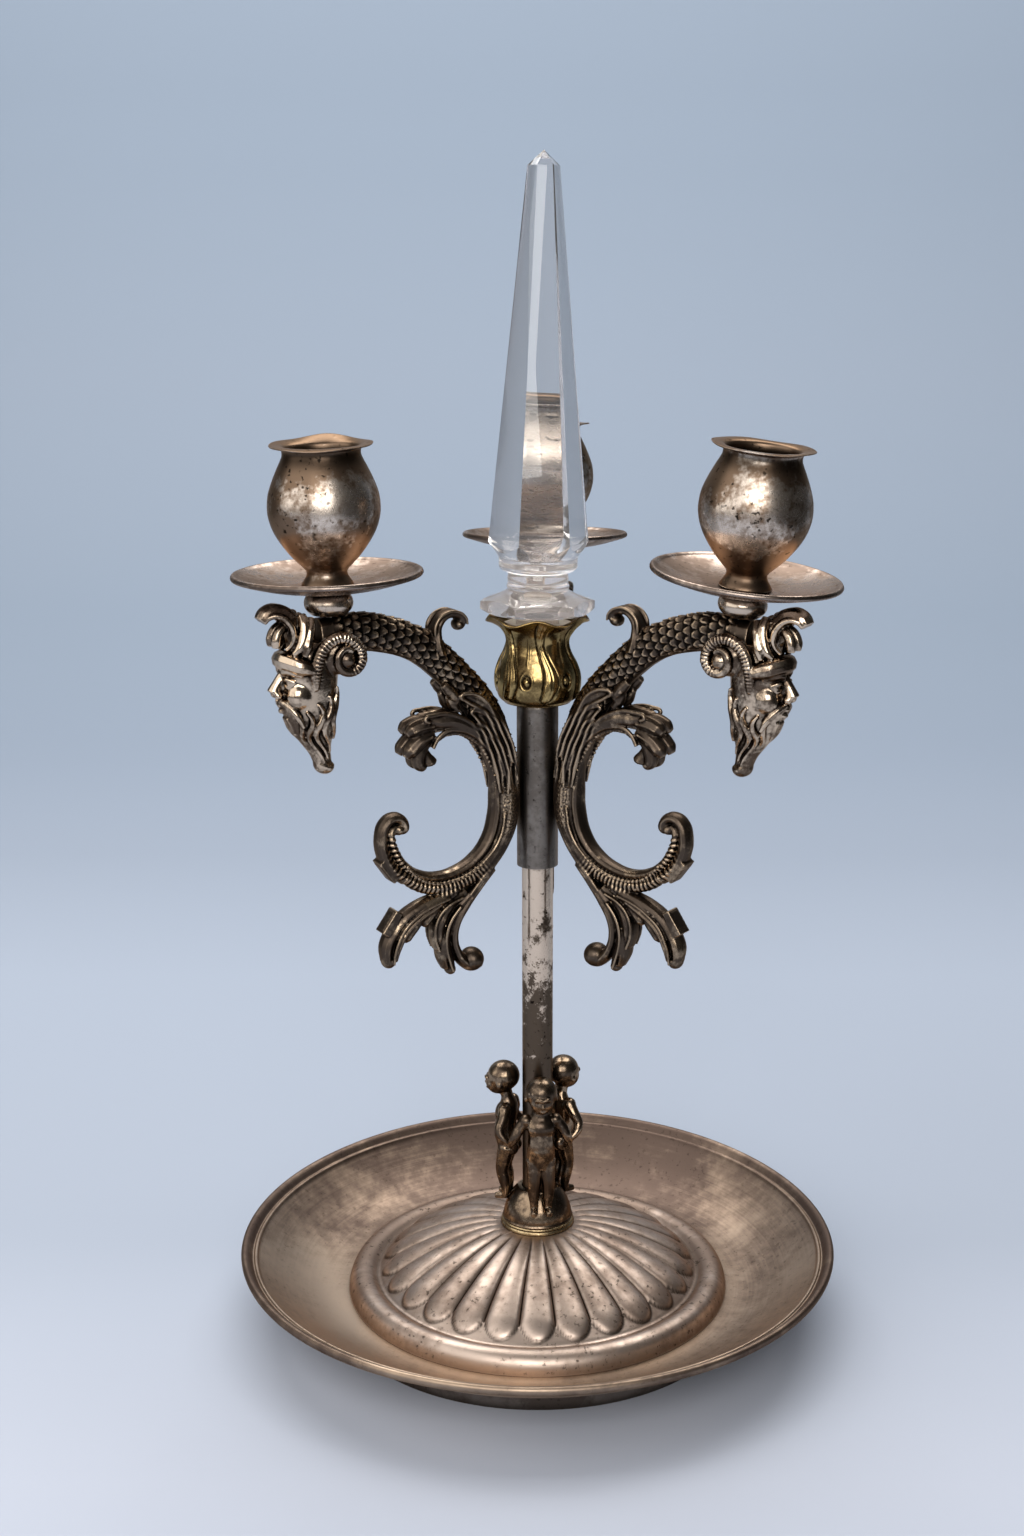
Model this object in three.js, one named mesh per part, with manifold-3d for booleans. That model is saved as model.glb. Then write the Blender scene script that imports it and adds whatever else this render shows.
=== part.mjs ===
// Three-arm table candelabrum with a fluted base, three figures round the stem,
// scroll arms that turn together on the stem, and a glass obelisk for a finial.
// Millimetres, +Z up, the stem on the Z axis, the foot on z = 0.
import * as THREE from "three";
import { mergeVertices } from "three/addons/utils/BufferGeometryUtils.js";
import Module from "manifold-3d";

// Foot, dish and dome
const FOOT_RADIUS = 65;
const FOOT_HEIGHT = 8;
const FOOT_WALL = 3;
const DISH_RADIUS = 96;
const DISH_DEPTH = 17.5;
const SHEET = 1.2;
const DOME_RADIUS = 61.6;
const DOME_RISE = 21;
const ROLL_WIDTH = 9.5;
const ROLL_HEIGHT = 6;
const FLUTES = 26;
const FLUTE_STEPS = 3;
const FLUTE_SWELL = 2.2;

// Collar, mound and figures
const COLLAR_RADIUS = 11.8;
const COLLAR_HEIGHT = 2.2;
const MOUND_HEIGHT = 10.5;
const FIGURES = 3;
const FIGURE_TURN = 44;
const FIGURE_HEIGHT = 46.3;

// Stem, sleeve and tie rod
const STEM_RADIUS = 4.85;
const STEM_WALL = 0.9;
const SLEEVE_WALL = 1.2;
const SLEEVE_BOTTOM = 151.2;
const SLEEVE_LENGTH = 51;
const BUSH_DEPTH = 4.4;
const ROD_RADIUS = 2;
const NUT_RADIUS = 4.2;
const NUT_HEIGHT = 3.2;

// Arms and candle stacks. The arms are brazed on by eye, so each has its own
// direction, outward lean and lift on the sleeve; turns and leans in degrees.
const ARM_TURNS = [-34, 88, 208.7];
const ARM_LEANS = [1.5, 1.5, 0];
const ARM_LIFTS = [2.2, 0, 0];
const ARM_REACH = 61.8;
const ARM_HEIGHT_ON_SLEEVE = 24;
const STACK_LEANS = [5.5, 1.5, 1.5];
const KNOP_RADIUS = 7.1;
const KNOP_HEIGHT = 7;
const PAN_RADIUS = 27.6;
const PAN_DEPTH = 5;
const CUP_RADIUS = 16.1;
const CUP_HEIGHT = 40;
const CUP_WALL = 0.9;
const SCREW_RADIUS = 1.6;

// Finial
const FINIAL_CUP_RADIUS = 15.5;
const FINIAL_CUP_HEIGHT = 27;
const GLASS_SIDES = 6;
const GLASS_HEIGHT = 134.5;
const GLASS_HALF_WIDTH = 15.2;
const GLASS_TOP_HALF_WIDTH = 4.8;
const GLASS_PLATE_RADIUS = 17.6;
const GLASS_WAIST_RADIUS = 9;
const GLASS_RING_RADIUS = 11.8;
const GLASS_TURN = 37.6;
const GLASS_LEAN = 0.8;

// Room left between pieces: around turning pieces, and between seated ones
const RUN_GAP = 0.35;
const FIT_GAP = 0.3;

const wasm = await Module();
wasm.setup();
const RAD = Math.PI / 180;
const ACROSS = new THREE.Vector3(0, 1, 0);

const FINISH = {
  silver: { color: 0xb9b2a6, roughness: 0.32, metalness: 1 },
  steel: { color: 0x6e6b66, roughness: 0.45, metalness: 1 },
  castBrass: { color: 0x8a7a58, roughness: 0.45, metalness: 1 },
  gilt: { color: 0xb58a44, roughness: 0.35, metalness: 1 },
  bronze: { color: 0x5a4a36, roughness: 0.5, metalness: 1 },
  glass: { color: 0xe8eef0, roughness: 0.06, metalness: 0 },
  plaster: { color: 0xd9d2c2, roughness: 0.9, metalness: 0 },
};
const materials = {};
for (const [name, values] of Object.entries(FINISH)) {
  materials[name] = new THREE.MeshStandardMaterial(values);
  materials[name].name = name;
}

// A closed solid from any closed geometry, turned to face outward.
function solid(geometry) {
  geometry.deleteAttribute("normal");
  geometry.deleteAttribute("uv");
  const merged = mergeVertices(geometry, 1e-4);
  const p = merged.attributes.position.array;
  const index = merged.index.array;
  const kept = [];
  let volume = 0;
  const corner = [0, 1, 2].map(() => new THREE.Vector3());
  for (let i = 0; i < index.length; i += 3) {
    const [a, b, c] = [index[i], index[i + 1], index[i + 2]];
    if (a === b || b === c || a === c) continue;
    kept.push([a, b, c]);
    [a, b, c].forEach((v, j) => corner[j].fromArray(p, 3 * v));
    volume += corner[0].dot(corner[1].clone().cross(corner[2]));
  }
  const facing = volume < 0 ? kept.map((t) => [t[0], t[2], t[1]]) : kept;
  return new wasm.Manifold(
    new wasm.Mesh({
      numProp: 3,
      vertProperties: Float32Array.from(p),
      triVerts: Uint32Array.from(facing.flat()),
    }),
  );
}

// All the solids of a list joined into one.
function join(solids) {
  return solids.reduce((sum, s) => sum.add(s));
}

// The largest body of a cut solid, without the crumbs a cut can leave.
function mainBody(shape) {
  const bodies = shape.decompose();
  return bodies.reduce((best, b) => (b.volume() > best.volume() ? b : best));
}

// A profile of [radius, height] points spun about the Z axis.
function spin(profile, sides) {
  const points = profile.map(([r, z]) => new THREE.Vector2(r, z));
  if (profile[0][0] > 0) points.push(points[0].clone());
  return solid(new THREE.LatheGeometry(points, sides).rotateX(Math.PI / 2));
}

// A plain round bar along Z between two heights.
function bar(radius, from, to, sides) {
  return spin([[0, from], [radius, from], [radius, to], [0, to]], sides);
}

// A ball squashed to three radii.
function ball(at, radii, wide = 6, high = 3) {
  const g = new THREE.SphereGeometry(1, wide, high).rotateX(Math.PI / 2);
  return solid(g.scale(...radii).translate(...at));
}

// A bar with an oval section along a smooth line through its stations, with
// pointed ends. A station is [x, y, z, half width, half depth]; the half depth
// lies along the given direction as nearly as the line allows.
function sweep(stations, steps, sides, along = ACROSS) {
  const at = stations.map((s) => new THREE.Vector3(s[0], s[1], s[2]));
  const line = new THREE.CatmullRomCurve3(at);
  const rings = [];
  const ringAt = (t, shift, shrink) => {
    const k = Math.min(stations.length - 2, Math.floor(t * (stations.length - 1)));
    const f = t * (stations.length - 1) - k;
    const [s, n] = [stations[k], stations[k + 1]];
    const a = THREE.MathUtils.lerp(s[3], n[3], f);
    const b = THREE.MathUtils.lerp(s[4] ?? s[3], n[4] ?? n[3], f);
    const ahead = line.getTangent(t);
    const wide = along.clone().cross(ahead).normalize();
    const deep = ahead.clone().cross(wide);
    const centre = line.getPoint(t).addScaledVector(ahead, shift * a);
    const ring = [];
    for (let i = 0; i < sides; i += 1) {
      const turn = (2 * Math.PI * i) / sides;
      const point = centre.clone().addScaledVector(wide, a * shrink * Math.cos(turn));
      ring.push(point.addScaledVector(deep, b * shrink * Math.sin(turn)));
    }
    return { ring, centre };
  };
  for (let i = 0; i <= steps; i += 1) rings.push(ringAt(i / steps, 0, 1).ring);
  const ends = [ringAt(0, -0.6, 1).centre, ringAt(1, 0.6, 1).centre];
  return skin(rings, ends[0], ends[1]);
}

// A closed surface over a row of rings with a point at each end.
function skin(rings, first, last) {
  const sides = rings[0].length;
  const points = [first, ...rings.flat(), last];
  const end = points.length - 1;
  const index = [];
  const at = (ring, i) => 1 + ring * sides + (i % sides);
  for (let i = 0; i < sides; i += 1) {
    index.push(0, at(0, i + 1), at(0, i));
    index.push(end, at(rings.length - 1, i), at(rings.length - 1, i + 1));
    for (let r = 0; r + 1 < rings.length; r += 1) {
      index.push(at(r, i), at(r, i + 1), at(r + 1, i));
      index.push(at(r, i + 1), at(r + 1, i + 1), at(r + 1, i));
    }
  }
  const g = new THREE.BufferGeometry().setFromPoints(points);
  g.setIndex(index);
  return solid(g);
}

// A named piece of the part from a solid.
function piece(name, shape, finish) {
  const made = shape.getMesh();
  const g = new THREE.BufferGeometry();
  const xyz = new Float32Array(made.numVert * 3);
  for (let i = 0; i < made.numVert; i += 1) {
    for (let j = 0; j < 3; j += 1) {
      xyz[3 * i + j] = made.vertProperties[made.numProp * i + j];
    }
  }
  g.setAttribute("position", new THREE.BufferAttribute(xyz, 3));
  g.setIndex(Array.from(made.triVerts));
  g.computeVertexNormals();
  const mesh = new THREE.Mesh(g, materials[finish]);
  mesh.name = name;
  return mesh;
}

const root = new THREE.Group();
root.name = "candelabrum";

// Foot ring, flaring a little up to the dish.
const footFlare = 1.2;
root.add(
  piece(
    "foot_ring",
    spin(
      [
        [FOOT_RADIUS - FOOT_WALL, 0],
        [FOOT_RADIUS, 0],
        [FOOT_RADIUS + footFlare, FOOT_HEIGHT],
        [FOOT_RADIUS + footFlare - FOOT_WALL, FOOT_HEIGHT],
      ],
      32,
    ),
    "silver",
  ),
);

// Base dish: flat floor, hollow wall and a rolled rim with an inner line.
const floorTop = FOOT_HEIGHT + SHEET;
const rimTop = FOOT_HEIGHT + DISH_DEPTH;
const wallStart = FOOT_RADIUS + 1;
const wallRun = DISH_RADIUS - 5 - wallStart;
const wallRise = rimTop - 2.4 - floorTop;
const wall = [0, 0.35, 0.7, 1].map((t) => [
  wallStart + wallRun * t,
  floorTop + wallRise * t ** 1.6,
]);
const dishOpening = DOME_RADIUS - ROLL_WIDTH - 6;
root.add(
  piece(
    "base_dish",
    spin(
      [
        [dishOpening, FOOT_HEIGHT],
        [dishOpening, floorTop],
        ...wall,
        [DISH_RADIUS - 3.6, rimTop],
        [DISH_RADIUS - 1.2, rimTop],
        [DISH_RADIUS, rimTop - 1.3],
        [DISH_RADIUS - 0.6, rimTop - 3],
        [DISH_RADIUS - 3.4, rimTop - 3.4],
        ...wall.slice(1, 3).reverse().map(([r, z]) => [r + 0.6, z - SHEET]),
        [wallStart + 0.8, FOOT_HEIGHT],
      ],
      32,
    ),
    "silver",
  ),
);

// Fluted dome: lobes that swell toward round outer ends, then a border roll.
// The outer skin is laid ring by ring and the hollow is cut from below.
const landRadius = COLLAR_RADIUS + 1.2;
const landTop = floorTop + DOME_RISE;
const fluteEnd = DOME_RADIUS - ROLL_WIDTH - 1.4;
const fluteFoot = floorTop + ROLL_HEIGHT * 0.85;
const domeHeight = (r) => {
  const t = (r - landRadius) / (fluteEnd - landRadius);
  return landTop + (fluteFoot - landTop) * t + 10 * t * (1 - t);
};
const domeRings = [];
const around = FLUTES * FLUTE_STEPS;
const fluteRing = (r, z, swell) => {
  const ring = [];
  for (let i = 0; i < around; i += 1) {
    const turn = (2 * Math.PI * i) / around;
    const lift = swell * Math.abs(Math.sin((turn * FLUTES) / 2)) ** 0.7;
    const out = r + (r > fluteEnd - 3 && swell > 0 ? lift * 0.8 : 0);
    ring.push(new THREE.Vector3(out * Math.cos(turn), out * Math.sin(turn), z + lift));
  }
  domeRings.push(ring);
};
fluteRing(landRadius - 0.5, landTop, 0);
for (const [t, swell] of [[0.08, 0.15], [0.5, 0.6], [0.86, 1], [0.97, 0.85]]) {
  const r = landRadius + (fluteEnd - landRadius) * t;
  fluteRing(r, domeHeight(r), swell * FLUTE_SWELL);
}
fluteRing(fluteEnd + 1.2, fluteFoot - 0.4, 0);
const rollMiddle = DOME_RADIUS - ROLL_WIDTH / 2;
for (const a of [115, 40]) {
  const r = rollMiddle + (ROLL_WIDTH / 2) * Math.cos(a * RAD);
  fluteRing(r, floorTop + 0.8 + (ROLL_HEIGHT - 0.8) * Math.sin(a * RAD), 0);
}
fluteRing(DOME_RADIUS, floorTop, 0);
const domeSkin = skin(
  domeRings,
  new THREE.Vector3(0, 0, landTop),
  new THREE.Vector3(0, 0, floorTop),
);
const domeHollow = spin(
  [
    [0, floorTop - 1],
    [DOME_RADIUS - 2, floorTop - 1],
    [DOME_RADIUS - 2, floorTop + 0.6],
    [rollMiddle, floorTop + ROLL_HEIGHT - 1.6],
    [fluteEnd, fluteFoot - 1.8],
    ...[0.7, 0.4].map((t) => {
      const r = landRadius + (fluteEnd - landRadius) * t;
      return [r - 0.4, domeHeight(r) - SHEET - 0.4];
    }),
    [landRadius - 0.6, landTop - SHEET],
    [0, landTop - SHEET],
  ],
  20,
);
const rodHole = bar(ROD_RADIUS + RUN_GAP, landTop - 3, landTop + 1, 12);
root.add(piece("fluted_dome", domeSkin.subtract(domeHollow).subtract(rodHole), "silver"));

// Collar ring and the mound, both bored for the stem.
const stemBore = STEM_RADIUS + FIT_GAP;
const collarTop = landTop + COLLAR_HEIGHT;
root.add(
  piece(
    "collar_ring",
    spin(
      [
        [stemBore, landTop],
        [COLLAR_RADIUS - 0.4, landTop],
        [COLLAR_RADIUS, landTop + 0.9],
        [COLLAR_RADIUS - 0.6, collarTop],
        [stemBore, collarTop],
      ],
      16,
    ),
    "gilt",
  ),
);
const moundProfile = (grow) => [
  [COLLAR_RADIUS - 0.8 + grow, collarTop],
  [COLLAR_RADIUS - 1.1 + grow, collarTop + 0.25 * MOUND_HEIGHT],
  [COLLAR_RADIUS - 2.2 + grow, collarTop + 0.55 * MOUND_HEIGHT + grow],
  [COLLAR_RADIUS - 4 + grow, collarTop + 0.85 * MOUND_HEIGHT + grow],
  [STEM_RADIUS + 1.4, collarTop + MOUND_HEIGHT + grow],
];
const moundTop = collarTop + MOUND_HEIGHT;
root.add(
  piece(
    "figure_mound",
    spin([[stemBore, collarTop], ...moundProfile(0), [stemBore, moundTop]], 16),
    "bronze",
  ),
);

// Figures standing round the stem with their backs to it and hands near each
// other. One figure is built facing +X and cut to sit on the mound and stem.
const figureFoot = collarTop + 0.5 * MOUND_HEIGHT;
const figureOut = COLLAR_RADIUS - 1.4;
const tall = FIGURE_HEIGHT / 45;
function figure() {
  const up = (z) => figureFoot + z * tall;
  const out = (x) => figureOut + x * tall;
  const limb = (rows, steps, sides) =>
    sweep(rows.map(([x, y, z, r, d]) => [out(x), y * tall, up(z), r * tall, (d ?? r) * tall]),
      steps, sides);
  const shapes = [
    limb([[-0.6, 0, 16, 3.6, 4.4], [-0.1, 0, 22, 3.7, 4.2], [-0.6, 0, 29, 3.2, 4.8],
      [-0.4, 0, 35.5, 1.9, 2.2]], 4, 6),
    ball([out(1), 0, up(39.6)], [5.1 * tall, 4.9 * tall, 5.2 * tall], 8, 6),
  ];
  for (const side of [-1, 1]) {
    shapes.push(
      limb([[-0.3, side * 2.3, 17, 2.9], [1.1, side * 2.6, 9.5, 2.3],
        [0.1, side * 2.9, 2, 1.5]], 2, 4),
      limb([[-0.8, side * 2.9, 1.2, 1.3], [3, side * 3.6, 0.8, 1.1]], 1, 4),
      limb([[-1, side * 4.6, 30, 2], [-0.6, side * 8, 25.5, 1.7],
        [-3.6, side * 8, 22.5, 1.2]], 2, 4),
    );
  }
  const seat = spin([[0, collarTop - 8], [COLLAR_RADIUS + 2, collarTop - 8],
    [COLLAR_RADIUS + 2, collarTop], ...moundProfile(FIT_GAP), [0, moundTop + FIT_GAP]], 16);
  const stem = bar(STEM_RADIUS + FIT_GAP, collarTop, collarTop + 2 * FIGURE_HEIGHT, 24);
  return mainBody(join(shapes).subtract(seat).subtract(stem));
}
for (let i = 0; i < FIGURES; i += 1) {
  const mesh = piece("putto_" + (i + 1), figure(), "bronze");
  mesh.rotation.z = (FIGURE_TURN + (360 / FIGURES) * i) * RAD;
  root.add(mesh);
}

// Stem tube from the dome up into the sleeve, and the rod through it with its
// washer and nut under the dome.
const sleeveTop = SLEEVE_BOTTOM + SLEEVE_LENGTH;
const stemTop = sleeveTop - BUSH_DEPTH - FIT_GAP;
const stemInner = STEM_RADIUS - STEM_WALL;
root.add(
  piece(
    "stem_tube",
    spin(
      [[stemInner, landTop], [STEM_RADIUS, landTop], [STEM_RADIUS, stemTop],
        [stemInner, stemTop]],
      24,
    ),
    "silver",
  ),
);
const washerTop = landTop - SHEET;
const washerBottom = washerTop - 1.4;
const nutBore = ROD_RADIUS + 0.1;
root.add(
  piece(
    "base_washer",
    spin(
      [[ROD_RADIUS + FIT_GAP, washerBottom], [9, washerBottom], [9, washerTop],
        [ROD_RADIUS + FIT_GAP, washerTop]],
      12,
    ),
    "steel",
  ),
);
function nut(name, bottom) {
  const blank = bar(NUT_RADIUS, bottom, bottom + NUT_HEIGHT, 6);
  const bore = bar(nutBore + FIT_GAP, bottom - 1, bottom + NUT_HEIGHT + 1, 12);
  return piece(name, blank.subtract(bore), "steel");
}
root.add(nut("base_nut", washerBottom - NUT_HEIGHT));

// Finial cup on its spacer, the rod's upper nut inside it, and the plaster.
const spacerTop = sleeveTop + 1;
root.add(
  piece(
    "cup_spacer",
    spin(
      [[ROD_RADIUS + FIT_GAP, sleeveTop + 0.2], [5, sleeveTop + 0.2], [5, spacerTop],
        [ROD_RADIUS + FIT_GAP, spacerTop]],
      12,
    ),
    "gilt",
  ),
);
const cupUp = (t) => spacerTop + FINIAL_CUP_HEIGHT * t;
const cupOut = (k) => FINIAL_CUP_RADIUS * k;
const tulip = [[0.75, 0.05], [0.81, 0.14], [0.81, 0.3], [0.73, 0.45], [0.64, 0.6], [0.63, 0.7],
  [0.67, 0.79], [0.79, 0.88]];
const tulipInside = [[0.95, 1], [0.71, 0.91], [0.58, 0.79], [0.56, 0.7], [0.57, 0.61],
  [0.66, 0.46], [0.74, 0.31], [0.74, 0.16], [0.68, 0.1], [0.3, 0.08]];
const finialCup = spin(
  [
    [ROD_RADIUS + FIT_GAP, cupUp(0)],
    [cupOut(0.64), cupUp(0)],
    ...tulip.map(([r, t]) => [cupOut(r), cupUp(t)]),
    [cupOut(1), cupUp(0.96)],
    ...tulipInside.map(([r, t]) => [cupOut(r), cupUp(t)]),
    [ROD_RADIUS + FIT_GAP, cupUp(0.08)],
  ],
  14,
);
root.add(piece("finial_cup", finialCup, "gilt"));
const upperNut = cupUp(0.08);
root.add(nut("rod_nut", upperNut));
const rodTop = upperNut + NUT_HEIGHT + 1.5;
root.add(
  piece("tie_rod", bar(ROD_RADIUS, washerBottom - NUT_HEIGHT - 3, rodTop, 12), "steel"),
);
const pegRadius = cupOut(0.42);
const pegBottom = cupUp(0.5);
const plasterBottom = rodTop + FIT_GAP;
const plasterTop = cupUp(0.9);
const insideAt = (z) => {
  const t = (z - spacerTop) / FINIAL_CUP_HEIGHT;
  const rows = tulipInside;
  const k = rows.findIndex((row, i) => i > 0 && row[1] <= t);
  const [a, b] = [rows[k - 1], rows[k]];
  return cupOut(b[0] + ((a[0] - b[0]) * (t - b[1])) / (a[1] - b[1]));
};
const plasterLevels = tulipInside.map(([, t]) => cupUp(t)).reverse();
const plasterRim = [
  plasterBottom,
  ...plasterLevels.filter((z) => z > plasterBottom + 1 && z < plasterTop - 1),
  plasterTop,
];
root.add(
  piece(
    "plaster_bed",
    spin(
      [
        [0, plasterBottom],
        ...plasterRim.map((z) => [insideAt(z) - FIT_GAP, z]),
        [pegRadius + FIT_GAP, plasterTop],
        [pegRadius + FIT_GAP, pegBottom - FIT_GAP],
        [0, pegBottom - FIT_GAP],
      ],
      14,
    ),
    "plaster",
  ),
);

// Glass obelisk: a six-sided plate and a round waist under a six-sided needle.
// The needle's faces end below in arcs, where they run into a cone.
const glassFoot = cupUp(1) + FIT_GAP + 0.3;
const glassUp = (t) => GLASS_HEIGHT * t;
const needle = spin(
  [
    [0, glassUp(0.115)],
    [GLASS_HALF_WIDTH, glassUp(0.115)],
    [GLASS_HALF_WIDTH, glassUp(0.16)],
    [GLASS_TOP_HALF_WIDTH, glassUp(0.967)],
    [0, glassUp(1)],
  ],
  GLASS_SIDES,
);
const needleCone = spin(
  [
    [0, glassUp(0.115)],
    [GLASS_RING_RADIUS, glassUp(0.115)],
    [GLASS_RING_RADIUS * 1.02, glassUp(0.126)],
    [GLASS_HALF_WIDTH, glassUp(0.16)],
    [GLASS_HALF_WIDTH * 1.25, glassUp(0.2)],
    [GLASS_HALF_WIDTH * 1.25, glassUp(1.01)],
    [0, glassUp(1.01)],
  ],
  12,
);
const glassBase = spin(
  [
    [0, pegBottom - glassFoot],
    [pegRadius, pegBottom - glassFoot],
    [pegRadius, 0],
    [GLASS_PLATE_RADIUS * 0.86, 0],
    [GLASS_PLATE_RADIUS, glassUp(0.009)],
    [GLASS_PLATE_RADIUS, glassUp(0.026)],
    [GLASS_WAIST_RADIUS * 1.16, glassUp(0.045)],
    [GLASS_WAIST_RADIUS * 1.02, glassUp(0.056)],
    [GLASS_WAIST_RADIUS, glassUp(0.084)],
    [GLASS_RING_RADIUS * 0.98, glassUp(0.097)],
    [GLASS_RING_RADIUS, glassUp(0.12)],
    [0, glassUp(0.12)],
  ],
  12,
).intersect(bar(GLASS_PLATE_RADIUS, pegBottom - glassFoot - 1, glassUp(0.125), GLASS_SIDES));
const glass = piece("obelisk", needle.intersect(needleCone).add(glassBase), "glass");
glass.position.z = glassFoot;
glass.rotation.set(0, GLASS_LEAN * RAD, GLASS_TURN * RAD, "YXZ");
root.add(glass);

// The turning branch: sleeve, bush and three arms.
const branch = new THREE.Group();
branch.name = "branch";
root.add(branch);
const sleeveInner = STEM_RADIUS + RUN_GAP;
const sleeveOuter = sleeveInner + SLEEVE_WALL;
branch.add(
  piece(
    "arm_sleeve",
    spin(
      [[sleeveInner, SLEEVE_BOTTOM], [sleeveOuter, SLEEVE_BOTTOM], [sleeveOuter, sleeveTop],
        [sleeveInner, sleeveTop]],
      24,
    ),
    "steel",
  ),
);
branch.add(
  piece(
    "sleeve_bush",
    spin(
      [
        [ROD_RADIUS + RUN_GAP, sleeveTop - BUSH_DEPTH],
        [sleeveInner - FIT_GAP, sleeveTop - BUSH_DEPTH],
        [sleeveInner - FIT_GAP, sleeveTop],
        [ROD_RADIUS + RUN_GAP, sleeveTop],
      ],
      24,
    ),
    "steel",
  ),
);

// Scroll arm. Its outline is laid in its own plane, [out from the sleeve, up,
// half width, half depth], for a reach of 62, and scaled to the real reach.
const armScale = ARM_REACH / 62;
const SPINE = [
  [65.6, 54.4, 6, 4.4], [53.6, 54.5, 6.4, 4.6], [43.6, 53, 5.8, 4.5], [35.6, 49.5, 5.5, 4.5],
  [28.1, 44, 5.8, 4.6], [20.6, 37, 6.5, 4.8], [13.6, 28.5, 6.5, 4.8], [8.1, 19.5, 5.8, 4.6],
  [5.1, 10, 5.4, 4.4], [4.6, 0, 5.2, 4.2], [6.1, -9, 4.7, 4], [10.6, -17.5, 4, 3.8],
  [17.6, -23, 3.3, 3.6], [25.6, -25.5, 3, 3.5], [33.6, -24.8, 2.9, 3.4], [39.6, -21.5, 2.6, 3.3],
  [44.6, -16, 2.5, 3.2], [46.6, -10, 2.3, 3.1], [45.3, -4.4, 2, 3], [42.4, -3.6, 1.7, 2.8],
];
const BRANCHES = [
  [[13.6, -25, 2.5, 3], [20.6, -32, 3, 4.2], [25.1, -39, 2.8, 4.4], [25.6, -45, 2.4, 4],
    [23.1, -50, 2, 3.6], [19.1, -52.5, 1.8, 3.2]],
  [[19.6, -26, 2.5, 3.2], [28.6, -30, 2.4, 4], [36.6, -33.5, 2.3, 4.2], [42.6, -38, 2.2, 4],
    [46.1, -43, 1.6, 3], [45.1, -49.5, 0.6, 1]],
  [[9.6, 9, 2.5, 3], [13.6, 20, 2.8, 4], [20.6, 25.5, 3, 4.6], [27.6, 26.5, 3, 4.6],
    [31.6, 24, 2.6, 4.2], [34.6, 19, 2, 3.4], [33.4, 15.4, 1.8, 3]],
  [[26.6, 49, 2.2, 2.6], [29.6, 55, 2, 2.8], [27.6, 58.8, 1.8, 2.8], [24.1, 59.5, 1.7, 2.7],
    [20.6, 58, 1.5, 2.6]],
];
const LOBES = [
  [[20.6, -30, 2, 3], [27.6, -38, 2, 3.4], [29.6, -47.5, 0.6, 0.8]],
  [[23.6, -35, 2, 3], [26.8, -44, 2, 3.2], [25.1, -54, 0.6, 0.8]],
  [[35, -32.5, 1.6, 3], [34.1, -38.7, 0.6, 0.8]],
  [[41, -36, 1.6, 3], [40.1, -43, 0.6, 0.8]],
  [[24, 26.5, 2.2, 4], [34.3, 28.4, 0.6, 0.8]],
  [[29, 25.5, 2.2, 3.8], [39.1, 23, 0.6, 0.8]],
  [[32.5, 22, 2, 3.4], [40.1, 16.5, 0.6, 0.8]],
  [[13, 22, 2.6, 3.6], [22.6, 34.5, 1.2, 2.4]],
];
const TIES = [
  [[42.4, -22.8, 1.4, 3.2], [48.3, -14.4, 1.4, 3.2]],
  [[43, -32.8, 1.7, 3], [47.4, -38.8, 1.7, 3]],
];
const CURL_BALLS = [[41, -5.2, 2.6], [17.3, -51.4, 4], [31.3, 14, 2.8], [20.8, 55.6, 2]];
const seatUp = 60.2;
const inPlane = (rows, grow = 0) =>
  rows.map(([x, z, a, b]) => [x * armScale, 0, z * armScale, a * armScale + grow,
    b * armScale + grow]);
const stackAt = (shape, lean) =>
  shape.rotate([0, lean, 0]).translate([ARM_REACH, 0, seatUp * armScale]);
const spineSolid = (grow) => sweep(inPlane(SPINE, grow), SPINE.length - 1, 6);
const screwRoom = (lean) => stackAt(bar(SCREW_RADIUS + FIT_GAP, -13, 1, 8), lean);

function scrollArm(lean, stackLean) {
  const shapes = [spineSolid(0)];
  for (const rows of BRANCHES) shapes.push(sweep(inPlane(rows), rows.length - 1, 4));
  for (const rows of LOBES) shapes.push(sweep(inPlane(rows), rows.length - 1, 3));
  for (const rows of TIES) shapes.push(sweep(inPlane(rows), 1, 4));
  for (const [x, z, r] of CURL_BALLS) {
    const k = r * armScale;
    shapes.push(ball([x * armScale, 0, z * armScale], [k, Math.max(k, 3 * armScale), k]));
  }
  const seatCut = stackAt(bar(KNOP_RADIUS + 1, 0, 12, 16), stackLean);
  const clear = bar(sleeveOuter + FIT_GAP, -200, 200, 24)
    .translate([-sleeveOuter, 0, 0])
    .rotate([0, -lean, 0]);
  const bored = join(shapes).subtract(seatCut).subtract(screwRoom(stackLean));
  return mainBody(bored.subtract(clear));
}

// Bearded mask on the arm's end, with locks above and a volute on each side.
// The head and beard are one loft of level ovals, [up, out, half width, half
// depth], for the same reach as the arm.
const HEAD = [
  [15.6, 64.7, 1.8, 1.6], [17.8, 64.8, 2.9, 2.6], [22, 65.7, 3.6, 3.5], [28, 68.3, 6.3, 5.5],
  [34, 69.3, 7.8, 6.4], [41, 69, 8.6, 6.9], [47, 68.6, 8.3, 6.8], [52, 68.3, 5.6, 5],
];
const HEAD_SIDES = 8;
function headSolid() {
  const rings = HEAD.map(([z, x, a, b]) => {
    const ring = [];
    for (let i = 0; i < HEAD_SIDES; i += 1) {
      const turn = (2 * Math.PI * i) / HEAD_SIDES;
      const point = new THREE.Vector3(x + a * Math.cos(turn), b * Math.sin(turn), z);
      ring.push(point.multiplyScalar(armScale));
    }
    return ring;
  });
  const [chin, crown] = [HEAD[0], HEAD[HEAD.length - 1]];
  const endAt = ([z, x, a], way) => new THREE.Vector3(x, 0, z + way * a * 0.4);
  return skin(
    rings,
    endAt(chin, -1).multiplyScalar(armScale),
    endAt(crown, 1).multiplyScalar(armScale),
  );
}
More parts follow.
